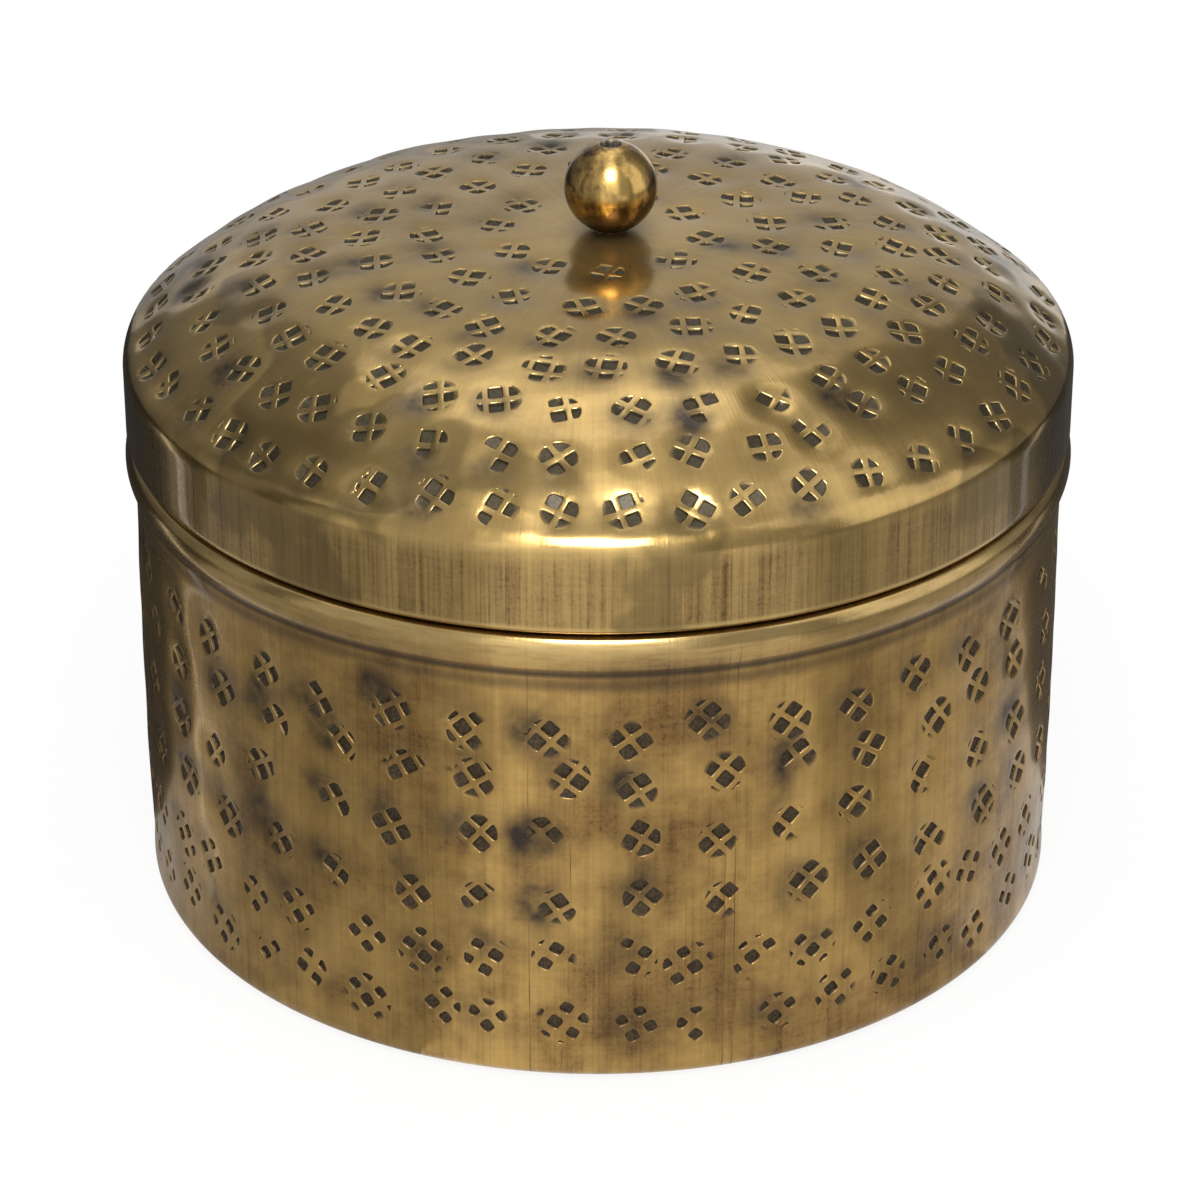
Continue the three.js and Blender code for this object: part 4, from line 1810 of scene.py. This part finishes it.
    def build(self, punch_tree: PunchTree, forming_tree: FormingTree, material: Finish) -> Item:
        """Strikes and forms the body.

        Args:
            punch_tree: The tree that lays the strikes out.
            forming_tree: The tree that forms the sheet.
            material: Its finish.

        Returns:
            The body.
        """
        section = Section(self.outer_face(), self.sheet)
        start = section.outer_length(height=self.foot + self.corner_radius + self.wall_margins[0])
        end = section.outer_length(height=self.fillet[1] - self.wall_margins[1])
        bottom = section.outer_length(radius=self.wall_radius - self.corner_radius - self.bottom_margin)
        inner_start, inner_end, inner_bottom = (section.inner_length(place) for place in (start, end, bottom))
        strikes = self._struck(section, punch_tree)
        flat = FlatSheet(section)
        Stretch(Shape.DISC_AT_START, 0.0, bottom, self.around, self.bottom_lattice, limp=0.0).lay(flat)
        flat.rings(section.stops(bottom, start, self.corner_spacing), self.around)
        Stretch(Shape.BAND, start, end, self.around, self.lattice, self.bead_radius, strikes=strikes,
                bite=self.upper_punch.bite).lay(flat)
        flat.rings(section.stops(end, section.edge, self.outer_spacing), self.around)
        flat.rings(section.stops(section.edge, inner_end, self.inner_spacing), self.around)
        Stretch(Shape.BAND, inner_end, inner_start, self.around, self.back_lattice, self.bead_radius,
                strikes=self._from_inside(strikes, (start, end), (inner_start, inner_end)), back=True).lay(flat)
        flat.rings(section.stops(inner_start, inner_bottom, self.corner_spacing), self.around)
        Stretch(Shape.DISC_AT_END, inner_bottom, section.length, self.around, self.bottom_lattice,
                limp=0.0).lay(flat)
        return formed("box_sheet", flat, forming_tree, self.ripple, material)

    @staticmethod
    def _from_inside(strikes: Strikes, outer: Point, inner: Point) -> Strikes:
        """Moves the strikes to the places on the inner face that back them.

        Args:
            strikes: The strikes on the outer face.
            outer: Where the struck wall starts and ends along the section.
            inner: Where the face behind it starts and ends.

        Returns:
            The strikes as the inner face has them, without marks.
        """
        centres = strikes.centres * 1.0
        share = (centres[:, 0] - outer[0]) / (outer[1] - outer[0])
        centres[:, 0] = inner[0] + (inner[1] - inner[0]) * share
        lean = strikes.lean * np.array([-1.0, 1.0])
        return replace(strikes, outlines=[], owners=np.zeros(0, int), centres=centres, lean=lean)


def turned(name: str, outline: Sequence[Point], x: float, around: int, material: Finish) -> Item:
    """Turns a closed outline about an upright axis.

    Args:
        name: The piece's name.
        outline: The outline as (radius, height) points, counter-clockwise.
        x: The axis's place along X.
        around: Segments round the axis.
        material: Its finish.

    Returns:
        The piece.
    """
    mesh = bpy.data.meshes.new(name)
    verts, faces = [], []
    count = len(outline)
    for j in range(around):
        angle = TAU * j / around
        verts += [((x + r * math.cos(angle)) * MM, r * math.sin(angle) * MM, z * MM) for r, z in outline]
        a, b = j * count, (j + 1) % around * count
        faces += [(a + i, b + i, b + (i + 1) % count, a + (i + 1) % count) for i in range(count)]
    mesh.from_pydata(verts, [], faces)
    mesh.materials.append(material)
    mesh.shade_smooth()
    mesh.set_sharp_from_angle(angle=math.radians(40))
    if volume(mesh) < 0:
        mesh.flip_normals()
    return new_object(name, mesh)


@dataclass
class Knob:
    """The ball knob with its bore, which the screw and the washer hold."""

    seat_radius: float = 2.8
    seat_gap: float = 0.05
    bore_radius: float = 1.95
    chamfer: float = 0.15
    around: int = 96

    def __post_init__(self) -> None:
        """Takes the ball's size and place from the CAD ball."""
        low, high = node_box("knob_ball")
        self.x = (low.x + high.x) / 2
        self.radius = (high.x - low.x) / 2
        self.lid_top = node_box("lid")[1].z
        self.seat = low.z
        self.mouth = high.z

    def ball(self, material: Finish) -> Item:
        """Builds the ball."""
        centre = self.seat + math.sqrt(self.radius ** 2 - self.seat_radius ** 2)
        start = -math.acos(self.seat_radius / self.radius)
        end = math.acos((self.bore_radius + self.chamfer) / self.radius)
        foot = self.lid_top + self.seat_gap
        outline = [(self.bore_radius, foot), (self.seat_radius, foot),
                   *arc((0.0, centre), self.radius, start, end, 0.4),
                   (self.bore_radius, self.mouth - self.chamfer * 2)]
        return turned("knob", outline, self.x, self.around, material)


@dataclass(frozen=True)
class Cloth:
    """A soft cloth round the table. Angles are in degrees, and azimuths run to the right of the front."""

    name: str
    start: float
    end: float
    shades: tuple[float, float]  # how bright its first and last edges are, where the white backdrop is 1
    lifts: tuple[float, float] | None = None  # its foot's and head's elevations, or None where it lies flat


@dataclass(frozen=True)
class Strip:
    """A narrow bright strip on the table, which runs away from the object."""

    name: str
    place: Point
    azimuth: float
    half_angle: float
    shade: float


@dataclass
class Studio:
    """The floor, the lights and the camera. None of it belongs to the object."""

    focal: float = 134.70
    sensor: float = 36.0
    camera_place: Place = (0.0, -797.94, 478.43)
    target: Place = (0.0, 0.0, 54.60)
    side_shift: float = 0.00148
    far_clip: float = 20.0
    floor_half: float = 3.0
    floor_height: float = -0.0003
    floor_white: float = 0.88
    fill: float = 0.9
    screen_radius: float = 1.6
    cloth_start: float = 0.0880
    cloth_height: float = 0.001
    cloth_rows: int = 9
    cloth_step: float = 6.0
    strip_reach: tuple[float, float] = (0.02, 0.6)
    strip_height: float = 0.0015
    lamp_size: tuple[float, float] = (0.42, 0.62)
    lamp_elevation: float = 51.0
    lamp_brightness: float = 13.0
    lamp_distance: float = 1.35
    lamp_aim: Place = (0.0, 0.0, 0.08)
    first_cloths: tuple[Cloth, ...] = (
        Cloth("screen_left", -72, -26, (0.55, 0.50), (-4, 66)),
        Cloth("screen_left_edge", -82, -72, (0.08, 0.14), (-4, 40)),
        Cloth("screen_left_far", -98, -82, (0.32, 0.45), (-4, 66)),
        Cloth("screen_left_shade", -116, -98, (0.16, 0.24), (-4, 60)),
        Cloth("screen_left_dark", -150, -116, (0.05, 0.40), (-4, 60)),
        Cloth("screen_right", 20, 49, (0.40, 0.36), (-4, 66)),
        Cloth("screen_right_edge", 49, 56, (0.10, 0.16), (-4, 40)),
        Cloth("screen_right_far", 98, 116, (0.32, 0.28), (-4, 62)),
        Cloth("screen_right_dark", 116, 150, (0.14, 0.22), (-4, 62)),
        Cloth("screen_back", 150, 210, (0.47, 0.50), (5, 50)),
        Cloth("screen_back_foot", -178, -150, (0.22, 0.32), (-4, 5)),
        Cloth("canopy_left", -140, -35, (0.60, 0.75), (66, 90)),
        Cloth("canopy_front", -35, 35, (1.5, 1.35), (66, 90)),
        Cloth("canopy_back", 140, 220, (1.7, 1.6), (62, 90)),
        Cloth("canopy_right", 35, 140, (0.50, 0.75), (66, 90)),
        Cloth("screen_front", -26, 20, (1.1, 1.5), (12, 38)),
        Cloth("cloth_left_dark", -152, -92, (0.04, 0.02)),
        Cloth("cloth_left", -92, -46, (0.37, 0.34)),
    )
    strips: tuple[Strip, ...] = (
        Strip("strip_left", (-0.0776, -0.0504), -120, 1.9, 1.3),
        Strip("strip_right", (0.0795, -0.0472), 124.7, 1.5, 1.0),
    )
    last_cloths: tuple[Cloth, ...] = (
        Cloth("cloth_front_left", -46, -22, (0.45, 0.56)),
        Cloth("cloth_front", -22, 0, (0.82, 1.05)),
        Cloth("cloth_front_right", 0, 42, (0.68, 0.90)),
        Cloth("cloth_right_gap", 42, 58, (0.50, 0.12)),
        Cloth("cloth_right", 58, 100, (0.72, 0.13)),
        Cloth("cloth_right_dark", 100, 152, (0.08, 0.04)),
        Cloth("cloth_back_left", -182, -152, (0.12, 0.40)),
        Cloth("cloth_back_right", 152, 178, (0.20, 0.85)),
    )

    def camera(self) -> None:
        """Sets the camera at the photograph's angle."""
        data = bpy.data.cameras.new("camera")
        data.sensor_width = self.sensor
        data.lens = self.focal
        data.shift_x = self.side_shift
        data.clip_end = self.far_clip
        camera = new_object("camera", data)
        place, target = Vector(self.camera_place), Vector(self.target)
        camera.location = place * MM
        camera.rotation_euler = (target - place).to_track_quat("-Z", "Y").to_euler()
        bpy.context.scene.camera = camera

    @staticmethod
    def _seen(g: Graph) -> Socket:
        """Tells rays that show the background, straight or in gloss or glass, from the rest."""
        rays = g.add("ShaderNodeLightPath")
        seen = g.larger(rays.outputs["Is Camera Ray"], rays.outputs["Is Glossy Ray"])
        return g.larger(seen, rays.outputs["Is Transmission Ray"])

    def floor(self) -> None:
        """Lays the pale floor."""
        half = self.floor_half
        mesh = bpy.data.meshes.new("floor")
        corners = [(-half, -half), (half, -half), (half, half), (-half, half)]
        mesh.from_pydata([(x, y, self.floor_height) for x, y in corners], [], [(0, 1, 2, 3)])
        material, g = new_material("floor")
        paper = g.add("ShaderNodeBsdfDiffuse", {"Color": (0.85, 0.85, 0.84, 1.0)})
        white = g.add("ShaderNodeEmission", {"Color": (1.0, 1.0, 1.0, 1.0), "Strength": 1.0})
        share = g.times(self._seen(g), self.floor_white)
        g.output("ShaderNodeOutputMaterial",
                 g.add("ShaderNodeMixShader", {0: share, 1: paper.outputs[0], 2: white.outputs[0]}))
        mesh.materials.append(material)
        new_object("floor", mesh)

    @staticmethod
    def _glowing(name: str, verts: Sequence[Place], faces: Sequence[tuple[int, ...]],
                 shades: Sequence[float]) -> None:
        """Makes a cloth that is seen only in what it is reflected in.

        Args:
            name: The cloth's name.
            verts: Its points, in metres.
            faces: Its faces.
            shades: How bright it is at each point, where the white backdrop is 1.
        """
        mesh = bpy.data.meshes.new(name)
        mesh.from_pydata(verts, [], faces)
        mesh.attributes.new("shade", "FLOAT", "POINT").data.foreach_set("value", shades)
        material, g = new_material(name)
        shade = g.add("ShaderNodeAttribute", attribute_name="shade").outputs["Fac"]
        g.output("ShaderNodeOutputMaterial", g.add("ShaderNodeEmission", {"Strength": shade}))
        mesh.materials.append(material)
        sheet = new_object(name, mesh)
        sheet.visible_camera = False
        sheet.visible_shadow = False
        sheet.visible_diffuse = False

    def _cloth(self, cloth: Cloth) -> None:
        """Sweeps a cloth round the table, standing as a screen or lying outside the photograph's frame."""
        if cloth.lifts:
            lifts = np.radians(np.linspace(*cloth.lifts, self.cloth_rows))
            rows = [(self.screen_radius * math.cos(t), self.screen_radius * math.sin(t)) for t in lifts]
        else:
            last, ratio = self.cloth_rows - 1, self.screen_radius / self.cloth_start
            rows = [(self.cloth_start * ratio ** (j / last), self.cloth_height) for j in range(last + 1)]
        columns = max(3, round(abs(cloth.end - cloth.start) / self.cloth_step))
        count, verts, faces = len(rows), [], []
        for i in range(columns + 1):
            azimuth = math.radians(cloth.start + (cloth.end - cloth.start) * i / columns)
            verts += [(r * math.sin(azimuth), -r * math.cos(azimuth), z) for r, z in rows]
        for a in range(columns * count):
            if a % count < count - 1:
                faces.append((a, a + 1, a + count + 1, a + count))
        self._glowing(cloth.name, verts, faces, list(np.tile(np.linspace(*cloth.shades, count), columns + 1)))

    def _strip(self, strip: Strip) -> None:
        """Lays a bright strip on the table."""
        verts = []
        for side in (-strip.half_angle, strip.half_angle):
            turn = math.radians(strip.azimuth + side)
            for r in self.strip_reach:
                x, y = strip.place[0] + r * math.sin(turn), strip.place[1] - r * math.cos(turn)
                verts.append((x, y, self.strip_height))
        self._glowing(strip.name, verts, [(0, 1, 3, 2)], [strip.shade] * len(verts))

    def lamp(self) -> None:
        """Sets the soft rectangular key lamp, which stands in front and faces the object."""
        data = bpy.data.lights.new("key", "AREA")
        data.shape = "RECTANGLE"
        data.size, data.size_y = self.lamp_size
        data.energy = self.lamp_brightness * math.pi * data.size * data.size_y
        lamp = new_object("key", data)
        lift = math.radians(self.lamp_elevation)
        reach = Vector((0.0, -math.cos(lift), math.sin(lift)))
        lamp.location = Vector(self.lamp_aim) + reach * self.lamp_distance
        lamp.rotation_euler = (-reach).to_track_quat("-Z", "Y").to_euler()

    def world(self) -> None:
        """Sets a plain white world, which is also what gloss and glass show."""
        world = bpy.data.worlds.new("studio")
        bpy.context.scene.world = world
        world.use_nodes = True
        g = Graph(world.node_tree)
        strength = g.remap(self._seen(g), 0.0, 1.0, self.fill, 1.0)
        g.output("ShaderNodeOutputWorld",
                 g.add("ShaderNodeBackground", {"Color": (1.0, 1.0, 1.0, 1.0), "Strength": strength}))

    def build(self) -> None:
        """Sets the whole studio up."""
        bpy.context.scene.view_settings.view_transform = "Standard"
        self.camera()
        self.floor()
        self.world()
        for cloth in self.first_cloths:
            self._cloth(cloth)
        for strip in self.strips:
            self._strip(strip)
        for cloth in self.last_cloths:
            self._cloth(cloth)
        self.lamp()


def dress_node(name: str, material: Finish) -> None:
    """Gives a carried-over CAD node its finish."""
    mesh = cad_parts[name].data
    mesh.materials.clear()
    mesh.materials.append(material)


def report(piece: Item) -> None:
    """Logs a finished piece."""
    mesh = piece.data
    mesh.calc_loop_triangles()
    log.info("%s: %d vertices, %d triangles", piece.name, len(mesh.vertices), len(mesh.loop_triangles))


def main() -> None:
    """Builds the box in order: lid, body, knob, studio."""
    logging.basicConfig(level=logging.INFO, format="%(name)s: %(message)s")
    lid_brass = AgedBrass(
        "lid_brass", tarnish=0.35, rough=0.18, coat=0.55, bright=(0.66, 0.448, 0.155, 1.0),
        brown=(0.15, 0.076, 0.022, 1.0), pit_floor=(0.10, 0.082, 0.050, 1.0), knob_place=0.0024,
        seam=(0.094, 0.0965), skirt_head=0.1095, worn_foot=0.0974, patched_from=0.052,
    ).material()
    wall_brass = AgedBrass(
        "wall_brass", tarnish=1.0, rough=0.24, coat=0.3, bright=(0.63, 0.393, 0.120, 1.0),
        brown=(0.14, 0.068, 0.022, 1.0), pit_floor=(0.12, 0.088, 0.052, 1.0),
        pit_grime=(0.055, 0.040, 0.026, 1.0), score_azimuths=(-8.1, -3.2, 14.9, 16.1),
        grimy_height=0.0877, grimy_reach=0.0016, rubbed_from=0.0885, seam=(0.0955, 0.0990),
    ).material()
    polished, plated = PolishedBrass().material(), NickelPlate().material()
    punch_tree, forming_tree = PunchTree(), FormingTree()

    lid = Lid().build(punch_tree, forming_tree, lid_brass)
    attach(lid, "lid")
    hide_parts("lid")
    report(lid)

    body = BoxBody().build(punch_tree, forming_tree, wall_brass)
    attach(body, "box")
    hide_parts("box_body")
    report(body)

    knob = Knob().ball(polished)
    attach(knob, "lid")
    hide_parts("knob_ball")
    report(knob)
    dress_node("knob_screw", plated)
    dress_node("knob_washer", plated)

    Studio().build()


if __name__ == "__main__":
    main()
